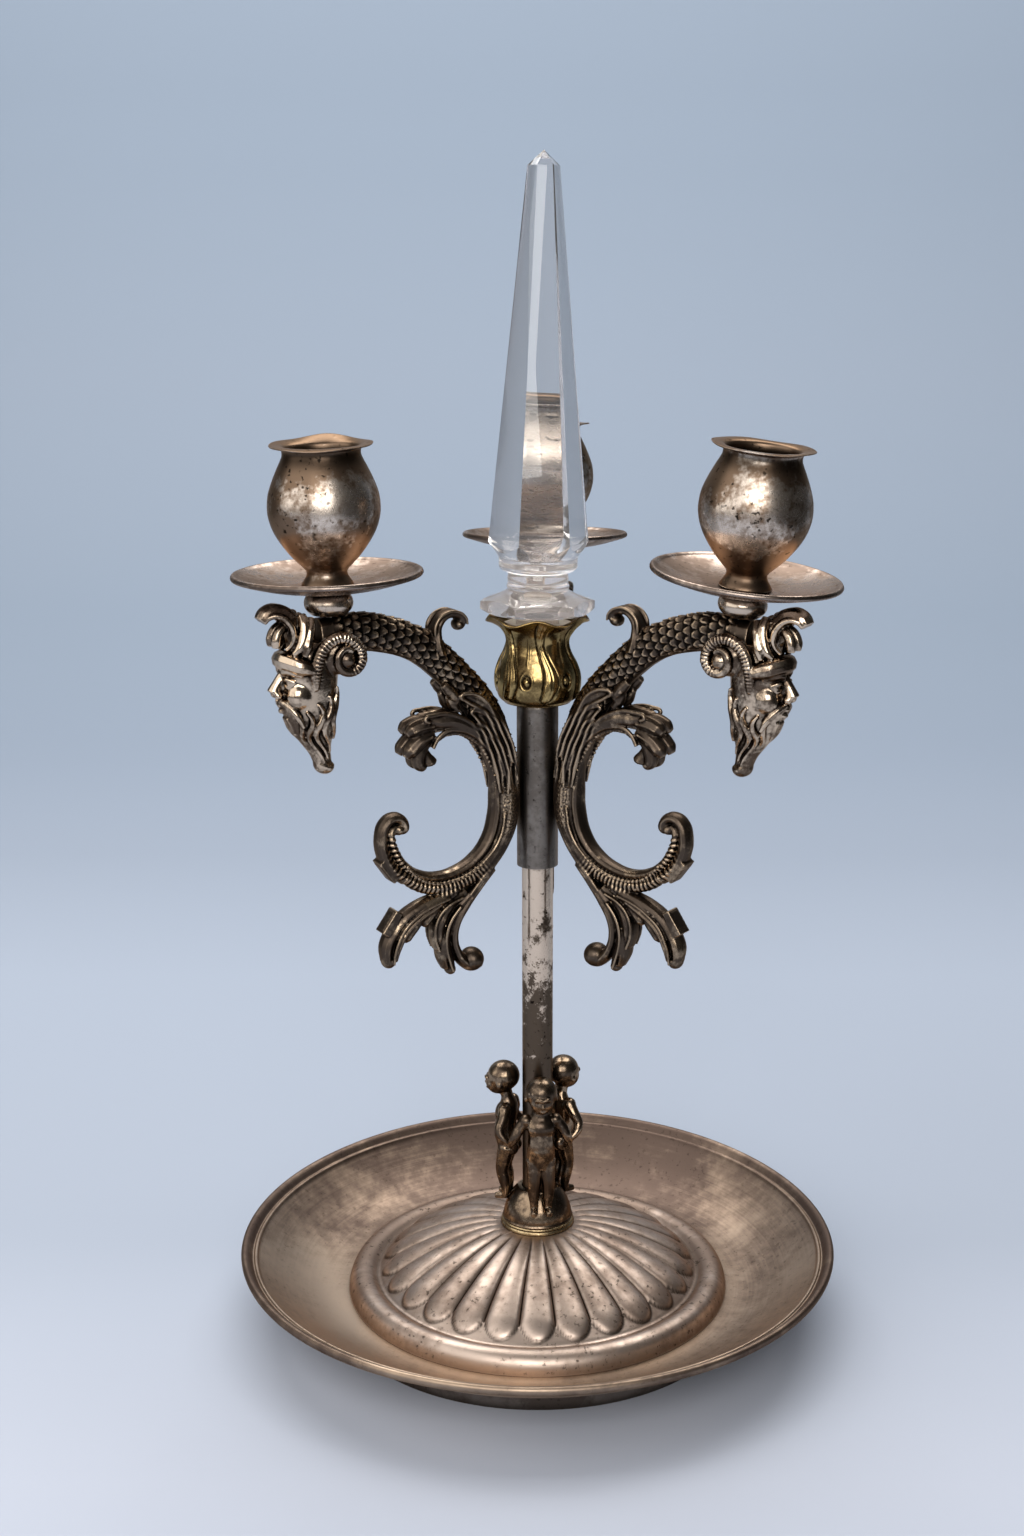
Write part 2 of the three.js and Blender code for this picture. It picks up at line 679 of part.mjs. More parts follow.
function mask(stackLean) {
  const strand = (rows, steps, sides = 3, along = ACROSS) =>
    sweep(rows.map(([x, y, z, a, b]) => [x * armScale, y * armScale, z * armScale,
      a * armScale, (b ?? a) * armScale]), steps, sides, along);
  const shapes = [
    headSolid(),
    strand([[75.6, -5.6, 45.6, 1.5], [77.4, 0, 47, 1.9], [75.6, 5.6, 45.6, 1.5]], 2, 4,
      new THREE.Vector3(1, 0, 0)),
    strand([[77, 0, 46, 1.5], [79.4, 0, 39, 2.1]], 1),
    strand([[69, 0, 48, 4, 5], [73, 0, 57, 3.2, 4], [77, 0, 62, 2.4, 3], [81.5, 0, 62.4, 1.8, 2.4],
      [83.6, 0, 59.6, 1, 1.4]], 4, 4),
  ];
  for (const s of [-1, 1]) {
    shapes.push(
      strand([[78, 0.8 * s, 34.4, 1.7], [74.6, 6.6 * s, 30.6, 0.8]], 1),
      strand([[70, 4.4 * s, 47, 2.8], [75.4, 5.4 * s, 53, 2.2], [79, 5.8 * s, 51.4, 1.2]], 2),
      strand([[69.4, 6.4 * s, 42, 1.5, 1.8], [68.8, 7.2 * s, 48.6, 1.9, 2.2],
        [65, 7.6 * s, 53.8, 1.9, 2.2], [59.6, 7.8 * s, 54.4, 1.8, 2], [55.8, 8 * s, 50, 1.8, 2],
        [57.4, 8.2 * s, 45.4, 1.7, 2], [62.4, 8.4 * s, 46.2, 1.6, 2],
        [61.4, 8.6 * s, 51, 1.4, 1.8]], 7, 4),
    );
  }
  const knopRoom = stackAt(bar(KNOP_RADIUS + 1, -0.4, 14, 16), stackLean);
  const hollowed = join(shapes).subtract(spineSolid(FIT_GAP)).subtract(knopRoom);
  return mainBody(hollowed.subtract(screwRoom(stackLean)));
}

// Knop, pan, cup and screw, each bored for the screw and stacked from z = 0.
const screwBore = SCREW_RADIUS + FIT_GAP;
const knopTop = KNOP_HEIGHT + FIT_GAP;
const knop = spin(
  [
    [screwBore, FIT_GAP],
    [KNOP_RADIUS * 0.62, FIT_GAP],
    [KNOP_RADIUS * 0.9, KNOP_HEIGHT * 0.22],
    [KNOP_RADIUS, KNOP_HEIGHT * 0.5],
    [KNOP_RADIUS * 0.9, KNOP_HEIGHT * 0.8],
    [KNOP_RADIUS * 0.6, knopTop],
    [screwBore, knopTop],
  ],
  10,
);
const panFloor = knopTop + FIT_GAP;
const panUp = (t) => panFloor + PAN_DEPTH * t;
const pan = spin(
  [
    [screwBore, panFloor],
    [PAN_RADIUS * 0.4, panFloor],
    [PAN_RADIUS * 0.75, panUp(0.32)],
    [PAN_RADIUS * 0.95, panUp(0.72)],
    [PAN_RADIUS, panUp(0.88)],
    [PAN_RADIUS * 0.975, panUp(1.08)],
    [PAN_RADIUS * 0.93, panUp(0.95)],
    [PAN_RADIUS * 0.74, panUp(0.5)],
    [PAN_RADIUS * 0.38, panFloor + 1],
    [screwBore, panFloor + 1],
  ],
  16,
);
const cupFoot = panFloor + 1 + FIT_GAP;
const cupAt = (t) => cupFoot + CUP_HEIGHT * t;
const urn = [[0.46, 0], [0.36, 0.09], [0.47, 0.15], [0.75, 0.285], [0.94, 0.42], [1, 0.56],
  [0.94, 0.71], [0.71, 0.9], [0.7, 0.96]];
const lip = [[0.91, 0.985], [0.91, 1], [0.7, 0.985]];
const wellFloor = cupAt(0.22);
const screwHead = wellFloor + FIT_GAP;
const headRadius = SCREW_RADIUS * 1.9;
const headHeight = SCREW_RADIUS;
// The screw's head lies in a well, below the seat that the candle stands on.
const seat = screwHead + headHeight + FIT_GAP;
const seatShare = (seat - cupFoot) / CUP_HEIGHT;
const aboveSeat = urn.findIndex(([, t]) => t > seatShare);
const [below, above] = [urn[aboveSeat - 1], urn[aboveSeat]];
const seatMix = (seatShare - below[1]) / (above[1] - below[1]);
const seatRadius = CUP_RADIUS * (below[0] + (above[0] - below[0]) * seatMix) - CUP_WALL;
const urnOut = urn.map(([k, t]) => [CUP_RADIUS * k, cupAt(t)]);
const urnIn = urn
  .slice(aboveSeat, -1)
  .reverse()
  .map(([k, t]) => [CUP_RADIUS * k - CUP_WALL, cupAt(t)]);
const candleCup = spin(
  [
    [screwBore, cupFoot],
    ...urnOut,
    ...lip.map(([k, t]) => [CUP_RADIUS * k, cupAt(t)]),
    [CUP_RADIUS * 0.7 - CUP_WALL, cupAt(0.96)],
    ...urnIn,
    [seatRadius, seat],
    [headRadius + FIT_GAP, seat],
    [headRadius + FIT_GAP, wellFloor],
    [screwBore, wellFloor],
  ],
  12,
);
const screw = spin(
  [
    [0, -12],
    [SCREW_RADIUS, -12],
    [SCREW_RADIUS, screwHead],
    [headRadius, screwHead],
    [headRadius, screwHead + headHeight / 2],
    [SCREW_RADIUS * 1.2, screwHead + headHeight * 0.95],
    [0, screwHead + headHeight],
  ],
  6,
);
ARM_LEANS.forEach((lean, i) => {
  const turned = new THREE.Group();
  turned.name = "arm_group_" + (i + 1);
  turned.rotation.z = ARM_TURNS[i] * RAD;
  const leaned = new THREE.Group();
  leaned.position.set(sleeveOuter, 0, SLEEVE_BOTTOM + ARM_HEIGHT_ON_SLEEVE + ARM_LIFTS[i]);
  leaned.rotation.y = lean * RAD;
  turned.add(leaned);
  leaned.add(piece("arm_scroll_" + (i + 1), scrollArm(lean, STACK_LEANS[i]), "castBrass"));
  leaned.add(piece("arm_mask_" + (i + 1), mask(STACK_LEANS[i]), "castBrass"));
  const stack = new THREE.Group();
  stack.position.set(ARM_REACH, 0, seatUp * armScale);
  stack.rotation.y = STACK_LEANS[i] * RAD;
  stack.add(piece("knop_" + (i + 1), knop, "silver"));
  stack.add(piece("drip_pan_" + (i + 1), pan, "silver"));
  stack.add(piece("candle_cup_" + (i + 1), candleCup, "silver"));
  stack.add(piece("cup_screw_" + (i + 1), screw, "steel"));
  leaned.add(stack);
  branch.add(turned);
});

export default root;
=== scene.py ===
import bpy
import math
import numpy as np
from mathutils import Matrix, Vector


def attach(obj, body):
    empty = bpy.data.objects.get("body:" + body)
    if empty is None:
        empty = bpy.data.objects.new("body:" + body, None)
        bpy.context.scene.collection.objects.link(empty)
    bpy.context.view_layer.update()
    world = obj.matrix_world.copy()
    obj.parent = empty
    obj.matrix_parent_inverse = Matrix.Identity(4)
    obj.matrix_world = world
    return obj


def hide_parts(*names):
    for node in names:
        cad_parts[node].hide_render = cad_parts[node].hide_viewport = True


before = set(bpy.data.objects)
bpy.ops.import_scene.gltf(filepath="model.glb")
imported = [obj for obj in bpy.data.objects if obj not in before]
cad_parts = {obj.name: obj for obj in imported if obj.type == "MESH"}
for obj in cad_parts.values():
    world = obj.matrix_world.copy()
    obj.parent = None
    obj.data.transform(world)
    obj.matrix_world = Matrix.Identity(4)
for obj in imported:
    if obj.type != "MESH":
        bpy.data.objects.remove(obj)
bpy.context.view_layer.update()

# Foot ring: a low drum of spun sheet, silver plated and nearly black from the
# shade and dust under the dish. It is soldered to the underside of the floor.
MM = 0.001


def turned(name, outline, steps=128, crease=38):
    """A vertex is extruded along an outline of (radius, height) in mm and spun round the stem's axis."""
    bpy.ops.object.select_all(action="DESELECT")
    bpy.ops.mesh.primitive_plane_add(size=0.002)
    piece = bpy.context.object
    piece.name = name
    bpy.ops.object.mode_set(mode="EDIT")
    bpy.ops.mesh.select_mode(type="VERT")
    bpy.ops.mesh.select_all(action="SELECT")
    bpy.ops.mesh.merge(type="CENTER")
    bpy.ops.transform.translate(value=(outline[0][0] * MM, 0, outline[0][1] * MM))
    for (r0, z0), (r1, z1) in zip(outline, outline[1:]):
        step = ((r1 - r0) * MM, 0, (z1 - z0) * MM)
        bpy.ops.mesh.extrude_region_move(TRANSFORM_OT_translate={"value": step})
    bpy.ops.mesh.select_all(action="SELECT")
    bpy.ops.mesh.spin(steps=steps, angle=2 * math.pi, center=(0, 0, 0), axis=(0, 0, 1))
    bpy.ops.mesh.select_all(action="SELECT")
    bpy.ops.mesh.remove_doubles(threshold=2e-6)
    bpy.ops.mesh.normals_make_consistent(inside=False)
    bpy.ops.object.mode_set(mode="OBJECT")
    bpy.ops.object.shade_smooth_by_angle(angle=math.radians(crease))
    return piece


def new_material(name):
    """A material made of nodes, with its tree and its main shader."""
    material = bpy.data.materials.new(name)
    material.use_nodes = True
    return material, material.node_tree, material.node_tree.nodes["Principled BSDF"]


def feed(tree, socket, value):
    """Links a socket to another node's output, or sets it to a value."""
    if isinstance(value, bpy.types.NodeSocket):
        tree.links.new(value, socket)
    else:
        socket.default_value = value


def add_node(tree, kind, **values):
    """A shader node: each value goes to the socket of that name, or else is a setting of the node."""
    made = tree.nodes.new(kind)
    for key, value in values.items():
        if key in made.inputs:
            feed(tree, made.inputs[key], value)
        else:
            setattr(made, key, value)
    return made


def mapped(tree, source, reads, gives=(0, 1), **settings):
    """A value that runs through one pair while its source runs through another."""
    limits = dict(zip(("From Min", "From Max", "To Min", "To Max"), (*reads, *gives)))
    return add_node(tree, "ShaderNodeMapRange", Value=source, **limits, **settings).outputs["Result"]


def blended(tree, factor, first, second):
    """One colour mixed into another."""
    made = add_node(tree, "ShaderNodeMix", data_type="RGBA")
    for at, value in ((0, factor), (6, first), (7, second)):
        feed(tree, made.inputs[at], (*value, 1) if isinstance(value, tuple) else value)
    return made.outputs[2]


def aged_metal(name, bare, film, grime_and_shade, *, patch, film_at, polish, dull, recess, edge=0.5, spots=0.6,
               brushed=None, bump=0.12, soft=0.09, rings=0.0):
    """Plated or cast metal: a tarnish film in patches, dark specks, grime and painted shade in recesses,
    rubbed edges.
    """
    material, tree, shader = new_material(name)
    shader.inputs["Metallic"].default_value = 1.0
    shader.inputs["Specular Tint"].default_value = (0.78, 0.64, 0.54, 1)
    place = add_node(tree, "ShaderNodeTexCoord").outputs["Object"]

    def ramp(source, low, high):
        return mapped(tree, source, (low, high), interpolation_type="SMOOTHSTEP")

    def math_of(kind, first, second):
        made = add_node(tree, "ShaderNodeMath", operation=kind)
        feed(tree, made.inputs[0], first)
        feed(tree, made.inputs[1], second)
        return made.outputs[0]

    def swing(noise, share):
        return math_of("MULTIPLY", math_of("SUBTRACT", noise, 0.5), share)

    def vector_of(kind, *vectors):
        made = add_node(tree, "ShaderNodeVectorMath", operation=kind)
        for socket, vector in zip(made.inputs, vectors):
            feed(tree, socket, vector)
        return made.outputs

    def clouds(scale, detail, rough, at=place):
        return add_node(tree, "ShaderNodeTexNoise", Scale=scale, Detail=detail, Roughness=rough,
                        Vector=at).outputs["Fac"]

    broad = clouds(patch, 7.0, 0.62)
    fine = clouds(patch * 9, 5.0, 0.6)
    speck = clouds(620.0, 3.0, 0.55)
    cloud = math_of("ADD", broad, swing(fine, 0.35))
    # The stain marks add tarnish, and on some pieces painted light and painted shade.
    cloud = math_of("ADD", cloud, add_node(tree, "ShaderNodeAttribute",
                                           attribute_name="stain_light_and_shade").outputs["Fac"])
    if rings:
        apart = add_node(tree, "ShaderNodeSeparateXYZ", Vector=place).outputs
        level = add_node(tree, "ShaderNodeCombineXYZ", X=apart["X"], Y=apart["Y"]).outputs[0]
        reach = vector_of("LENGTH", level)["Value"]
        slant = math_of("MULTIPLY", math_of("ADD", reach, apart["Z"]), 420.0)
        lifted = add_node(tree, "ShaderNodeCombineXYZ", Z=slant).outputs[0]
        drawn = clouds(1.6, 5.0, 0.65, vector_of("ADD", vector_of("NORMALIZE", level)[0], lifted)[0])
        cloud = math_of("ADD", cloud, swing(drawn, rings))
    filmed = ramp(cloud, film_at - soft, film_at + soft)
    colour = blended(tree, filmed, bare, film)
    pitted = math_of("MULTIPLY", ramp(speck, 0.6, 0.68), spots)
    pitted = math_of("MULTIPLY", pitted, ramp(broad, 0.35, 0.6))
    colour = blended(tree, pitted, colour, grime_and_shade)
    # Recesses are darkened by ambient occlusion: painted shade, with the grime that gathers there.
    hollow = add_node(tree, "ShaderNodeAmbientOcclusion", samples=8, Distance=recess)
    colour = blended(tree, ramp(hollow.outputs["AO"], 0.25, 0.85), grime_and_shade, colour)
    # The soot marks darken soot and painted shade; their negative values lighten rubbed places.
    marks = add_node(tree, "ShaderNodeAttribute", attribute_name="soot_and_shade").outputs["Fac"]
    colour = blended(tree, ramp(marks, 0.05, 0.8), colour, grime_and_shade)
    ridges = add_node(tree, "ShaderNodeNewGeometry").outputs["Pointiness"]
    worn = math_of("MULTIPLY", ramp(ridges, 0.515, 0.6), edge)
    worn = math_of("MAXIMUM", worn, ramp(marks, -0.1, -0.8))
    colour = blended(tree, worn, colour, tuple(min(1.0, c * 1.25) for c in bare))
    feed(tree, shader.inputs["Base Color"], colour)
    rough = math_of("ADD", polish, math_of("MULTIPLY", filmed, dull - polish))
    rough = math_of("ADD", rough, swing(fine, 0.12))
    feed(tree, shader.inputs["Roughness"], math_of("ADD", rough, math_of("MULTIPLY", pitted, 0.2)))
    relief = math_of("ADD", clouds(900.0, 4.0, 0.6), math_of("MULTIPLY", pitted, -0.6))
    if brushed:
        combed = add_node(tree, "ShaderNodeMapping", Scale=brushed, Vector=place).outputs["Vector"]
        relief = math_of("ADD", relief, math_of("MULTIPLY", clouds(1.0, 3.0, 0.7, combed), 0.8))
    raised = add_node(tree, "ShaderNodeBump", Strength=bump, Distance=0.00025, Height=relief)
    feed(tree, shader.inputs["Normal"], raised.outputs["Normal"])
    return material


def dress(piece, material, body, slot, *nodes):
    """Gives a finished piece its metal and its body, and hides the solids it stands for; the slot is not
    used.
    """
    piece.data.materials.clear()
    piece.data.materials.append(material)
    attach(piece, body)
    if nodes:
        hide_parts(*nodes)


foot = turned("foot_drum", [(62, 0.4), (62.4, 0), (64.6, 0), (65, 0.5), (65.3, 4), (66.2, 8), (63.2, 8),
                            (62.3, 4), (62, 0.4)])
foot_plate = aged_metal("foot_plate", (0.30, 0.255, 0.22), (0.14, 0.11, 0.09), (0.03, 0.025, 0.02), patch=30,
                        film_at=0.45, polish=0.34, dull=0.5, recess=0.004, brushed=(60, 60, 900))
dress(foot, foot_plate, "base", "silver", "foot_ring")

# Base dish: spun from sheet, with a flat floor, a hollow wall and a rim rolled
# over outside. A fine raised line runs round inside the rim. Silver plate, stained brown.


def eased(points, cuts=5):
    """A smooth line through the points; a point given twice in a row stays a corner."""
    runs, run = [], [points[0]]
    for p in points[1:]:
        if p == run[-1]:
            runs.append(run)
            run = [p]
        else:
            run.append(p)
    runs.append(run)
    line = [points[0]]
    for run in runs:
        for i in range(len(run) - 1):
            a, b = np.array(run[i]), np.array(run[i + 1])
            before = np.array(run[i - 1]) if i else 2 * a - b
            after = np.array(run[i + 2]) if i + 2 < len(run) else 2 * b - a
            for k in range(1, cuts + 1):
                t = k / cuts
                p = 0.5 * (2 * a + (b - before) * t + (2 * before - 5 * a + 4 * b - after) * t * t
                           + (3 * a - before - 3 * b + after) * t ** 3)
                line.append(tuple(float(v) for v in p))
    return line


dish_wall = [(66 + 25 * t, 9.2 + 13.9 * t ** 1.6) for t in (0.0, 0.18, 0.36, 0.54, 0.72, 0.88, 0.97)]
dish_inside = [(46.1, 9.2), (60, 9.2), *dish_wall]
dish_rim = [(90.6, 22.9), (90.9, 23.5), (91.5, 23.7), (92.0, 23.3), (92.5, 23.5), (93.6, 24.9), (94.7, 25.5),
            (95.6, 25.2), (96.0, 24.3), (95.7, 23.2), (94.9, 22.5), (93.8, 22.4), (92.6, 22.4)]
dish_under = [(r + 0.7, z - 1.1) for r, z in reversed(dish_wall[1:])]
dish_outline = eased(dish_inside, 4) + eased(dish_rim, 3) + eased([*dish_under, (66.8, 8), (66.8, 8),
                                                                   (46.1, 8)], 3)
dish = turned("dish", dish_outline + [dish_outline[0]], 192)


def mesh_points(piece):
    """The corners of a mesh, in mm, and their normals."""
    count = len(piece.data.vertices)
    points, normals = np.empty(count * 3), np.empty(count * 3)
    piece.data.vertices.foreach_get("co", points)
    piece.data.vertices.foreach_get("normal", normals)
    return points.reshape(-1, 3) / MM, normals.reshape(-1, 3)


def set_points(piece, points):
    """Puts corners, in mm, back into a mesh."""
    piece.data.vertices.foreach_set("co", (points * MM).ravel())
    piece.data.update()


def mark(piece, kind, values):
    """Notes at each corner how sooty (1) or rubbed (-1) it is, or how much more stained; painted shade and
    painted highlights are noted the same way.
    """
    piece.data.attributes.new(kind, "FLOAT", "POINT").data.foreach_set("value", np.clip(values, -1, 1))


def grown(values, start, length):
    """0 up to a start, then rising to 1 over a length."""
    return np.clip((values - start) / length, 0, 1)


points = mesh_points(dish)[0]
radius = np.hypot(points[:, 0], points[:, 1])
back = points[:, 1] / np.maximum(radius, 1)
rim_lift = 2.3  # the rim is bent up at the back
points[:, 2] += rim_lift * grown(radius, 66, 30) ** 1.5 * np.clip(back, 0, 1) ** 2
set_points(dish, points)
# The dish wall is painted lighter at the front and darker at the back, a little darker again at the back
# right, and its rim lighter at the very front: painted light and painted shade.
painted_light = np.interp(back, (-1, 0, 0.35, 0.8, 1), (-0.16, -0.2, -0.03, 0.17, 0.2))
painted_light += 0.0007 * points[:, 0] * np.clip(back, -0.4, 1)
rim_painted_light = np.interp(back, (-0.9, -0.5), (-0.06, 0.14))
mark(dish, "stain_light_and_shade", np.where(radius > 92.4, rim_painted_light, painted_light))
mark(dish, "soot_and_shade", 0.32 * grown(radius, 94.9, 0.6))
dish_plate = aged_metal("dish_plate", (0.52, 0.392, 0.29), (0.124, 0.089, 0.073), (0.025, 0.018, 0.014),
                        patch=22, film_at=0.46, polish=0.38, dull=0.5, recess=0.006, edge=0.5, spots=0.35,
                        soft=0.26, rings=0.24)
dress(dish, dish_plate, "base", "silver", "base_dish")

# Fluted dome: one stamping with a border roll, soldered down on the dish floor.
# The lobes swell outward to round ends; a narrow moat parts them from the roll.
LOBES = 26
dome_line = [(2.35, 30.2), (9, 30.2), (13, 30.2)]
for t in [0.8 * k / 24 for k in range(1, 25)] + [0.8 + 0.2 * k / 24 for k in range(1, 25)]:
    dome_line.append((13 + 37.7 * t, 30.2 - 15.9 * t + 10 * t * (1 - t)))
dome_roll = eased([(50.7, 14.3), (51.5, 13.7), (52.4, 13.5), (53.2, 14.0), (54.6, 15.0), (56.6, 15.5),
                   (58.8, 14.9), (60.4, 13.4), (61.3, 11.3), (61.6, 9.25)], 3)
dome = turned("fluted_dome_skin", dome_line + dome_roll[1:], LOBES * 18, 60)
lobe_start, lobe_end, swell = 13.2, 45.2, 2.0
half_lobe = math.pi * lobe_end / LOBES


def band(values, middle, half, power=2):
    """1 at a middle, fading out on both sides of it."""
    return np.exp(-((values - middle) / half) ** power)


def shaped(piece, kind, **settings):
    """One modifier, set and applied, with the piece alone selected."""
    bpy.ops.object.select_all(action="DESELECT")
    piece.select_set(True)
    bpy.context.view_layer.objects.active = piece
    step = piece.modifiers.new(kind.lower(), kind)
    for key, value in settings.items():
        setattr(step, key, value)
    bpy.ops.object.modifier_apply(modifier=step.name)


points = mesh_points(dome)[0]
radius = np.hypot(points[:, 0], points[:, 1])
around = np.mod(np.arctan2(points[:, 1], points[:, 0]) * LOBES / (2 * math.pi), 1.0) - 0.5
across = around * 2 * math.pi * np.maximum(radius, 1) / LOBES
past = np.maximum(0, radius - lobe_end)
room = 1 - (across / (0.97 * math.pi * np.minimum(radius, lobe_end) / LOBES)) ** 2 - (past / half_lobe) ** 2
growth = grown(radius, lobe_start, lobe_end - lobe_start) ** 0.8
points[:, 2] += swell * (0.12 + 0.88 * growth) * np.maximum(0, room) ** 0.42 * (radius > lobe_start)
set_points(dome, points)
# The grooves between the lobes and the moat round their ends are painted dark: painted shade.
groove = band(room, 0, np.where(room > 0, 0.1, 0.22)) * grown(radius, 14, 8) * (radius < 51)
mark(dome, "soot_and_shade", 0.6 * groove + 0.45 * band(radius, 52.3, 0.6))
# The dome is painted darker towards the back and the sides: painted shade.
mark(dome, "stain_light_and_shade", 0.0024 * points[:, 1] + 0.0012 * np.abs(points[:, 0] - 8))
shaped(dome, "SOLIDIFY", thickness=0.9 * MM, offset=-1)
bpy.ops.object.shade_smooth_by_angle(angle=math.radians(50))
dome_plate = aged_metal("dome_plate", (0.50, 0.405, 0.345), (0.24, 0.18, 0.145), (0.025, 0.018, 0.014),
                        patch=34, film_at=0.48, polish=0.38, dull=0.5, recess=0.0018, edge=0.8, spots=0.7,
                        soft=0.18)
dress(dome, dome_plate, "base", "silver", "fluted_dome")

# Collar ring: a bright brass ring of two beads, pressed on round the foot of
# the figures. Rubbing keeps it brighter than the rest.
collar = turned("collar", eased([(5.2, 30.2), (5.2, 30.2), (11.2, 30.2), (11.8, 30.7), (11.5, 31.3),
                                 (11.2, 31.5), (11.6, 31.8), (11.4, 32.2), (10.9, 32.4), (10.9, 32.4),
                                 (5.2, 32.4), (5.2, 32.4), (5.2, 30.2)], 3), 96)
collar_brass = aged_metal("collar_brass", (0.50, 0.38, 0.22), (0.26, 0.185, 0.10), (0.03, 0.02, 0.012),
                          patch=120, film_at=0.52, polish=0.24, dull=0.38, recess=0.0015)
dress(collar, collar_brass, "base", "gilt", "collar_ring")

# Figure mound: a small cast hill that the figures are soldered to, dark with
# old patina and rubbed bright along its lower edge.
mound = turned("mound", eased([(5.2, 32.4), (5.2, 32.4), (10.9, 32.4), (11.05, 33.3), (10.75, 35.2),
                               (9.8, 38), (8.2, 40.8), (6.6, 42.6), (5.2, 42.9), (5.2, 42.9), (5.2, 32.4)],
                              4), 96)
figure_bronze = aged_metal("figure_bronze", (0.30, 0.22, 0.15), (0.075, 0.055, 0.041), (0.010, 0.008, 0.006),
                           patch=70, film_at=0.46, polish=0.18, dull=0.3, recess=0.0022, edge=1.0, spots=0.3)
dress(mound, figure_bronze, "base", "bronze", "figure_mound")

# Three figures of children: small bronze castings that stand on the mound with their
# backs to the stem, arms spread down and back. One is modelled and cast three times.
FIGURE_TURNS, FIGURE_REACH, FIGURE_FOOT = (43, 164, 276), 10.4, 37.65
FIGURE_SCALE = 46.3 / 45  # from the pattern's height to the figure's


def stroke(points, depth=1.0, rings=6):
    """One bar of a wax pattern: a curve through points (x, y, z, radius) in mm, thickened by the radii."""
    bpy.ops.object.select_all(action="DESELECT")
    bpy.ops.curve.primitive_bezier_curve_add()
    bar = bpy.context.object
    bar.data.dimensions = "3D"
    knots = bar.data.splines[0].bezier_points
    knots.add(len(points) - 2)
    for knot, (x, y, z, r) in zip(knots, points):
        knot.co = (x * MM, y * MM, z * MM)
        knot.handle_left_type = knot.handle_right_type = "AUTO"
        knot.radius = r
    bar.data.bevel_depth = MM
    bar.data.bevel_resolution = 3
    bar.data.resolution_u = rings
    bar.data.use_fill_caps = True
    bpy.ops.object.convert(target="MESH")
    if depth != 1.0:
        middle = sum(p[1] for p in points) / len(points) * MM
        bar.data.transform(Matrix.Translation((0, middle, 0)) @ Matrix.Diagonal((1, depth, 1, 1))
                           @ Matrix.Translation((0, -middle, 0)))
    return bar


def blob(place, radii):
    """One ball of a wax pattern, pressed to three radii."""
    bpy.ops.object.select_all(action="DESELECT")
    bpy.ops.mesh.primitive_uv_sphere_add(segments=24, ring_count=14, radius=MM)
    ball = bpy.context.object
    ball.data.transform(Matrix.Translation([v * MM for v in place]) @ Matrix.Diagonal((*radii, 1)))
    return ball


def cast(name, bars, grain, passes, factor=0.5):
    """The bars of a pattern run together into one closed casting, then smoothed."""
    bpy.ops.object.select_all(action="DESELECT")
    for bar in bars:
        bar.select_set(True)
    bpy.context.view_layer.objects.active = bars[0]
    bpy.ops.object.join()
    piece = bpy.context.object
    piece.name = name
    shaped(piece, "REMESH", mode="VOXEL", voxel_size=grain * MM)
    shaped(piece, "SMOOTH", factor=factor, iterations=passes)
    bpy.ops.object.shade_smooth()
    return piece


def hollows(piece, depth, darkened, rubbed):
    """Painted shade and soot for corners that lie under their neighbours and rubbing for those above, full at
    a depth in mm.
    """
    points, normals = mesh_points(piece)
    ends = np.empty(len(piece.data.edges) * 2, dtype=np.int32)
    piece.data.edges.foreach_get("vertices", ends)
    first, second = ends.reshape(-1, 2).T
    total = len(points)

    def gathered(at_first, at_second):
        return np.bincount(first, at_first, total) + np.bincount(second, at_second, total)

    near = np.maximum(1, gathered(None, None))
    gap = points[second] - points[first]
    lift = gathered(np.sum(normals[first] * gap, axis=1), -np.sum(normals[second] * gap, axis=1)) / near
    for _ in range(2):
        lift = 0.4 * lift + 0.6 * gathered(lift[second], lift[first]) / near
    lift = np.clip(lift / depth, -1, 1)
    return np.where(lift > 0, darkened, rubbed) * lift


def placed(pattern, name, place):
    """A copy of a piece with its own mesh, moved to its place in the mesh itself."""
    copy = pattern.copy()
    copy.data = pattern.data.copy()
    copy.name = name
    bpy.context.collection.objects.link(copy)
    copy.data.transform(place)
    return copy


figure_bars = [
    stroke([(-0.8, 0, 16, 3.3), (-0.3, 0, 19.5, 3.6), (0.4, 0, 22.5, 3.4), (0.2, 0, 26, 3.3),
            (-0.3, 0, 29.5, 3.4), (-0.6, 0, 31.8, 2.8), (-0.2, 0, 34, 1.9), (0.5, 0, 36.5, 1.9)], 1.25),
    blob((1.0, 0, 21.6), (2.9, 3.4, 4.2)),
    blob((0.6, 0, 28.6), (2.9, 4.4, 3.6)),
    blob((1.4, 0, 40.0), (4.7, 4.4, 4.8)),
    blob((0.9, 0, 40.7), (5.1, 4.9, 4.8)),
    blob((2.8, 0, 38.4), (3.9, 3.6, 3.9)),
    blob((6.4, 0, 38.0), (0.8, 0.65, 0.7)),
    stroke([(5.8, -2.5, 39.9, 0.45), (6.4, -1.2, 40.2, 0.5), (6.5, 0, 39.9, 0.4), (6.4, 1.2, 40.2, 0.5),
            (5.8, 2.5, 39.9, 0.45)]),
    stroke([(5.8, -1.0, 36.4, 0.35), (6.3, 0, 36.3, 0.45), (5.8, 1.0, 36.4, 0.35)]),
]
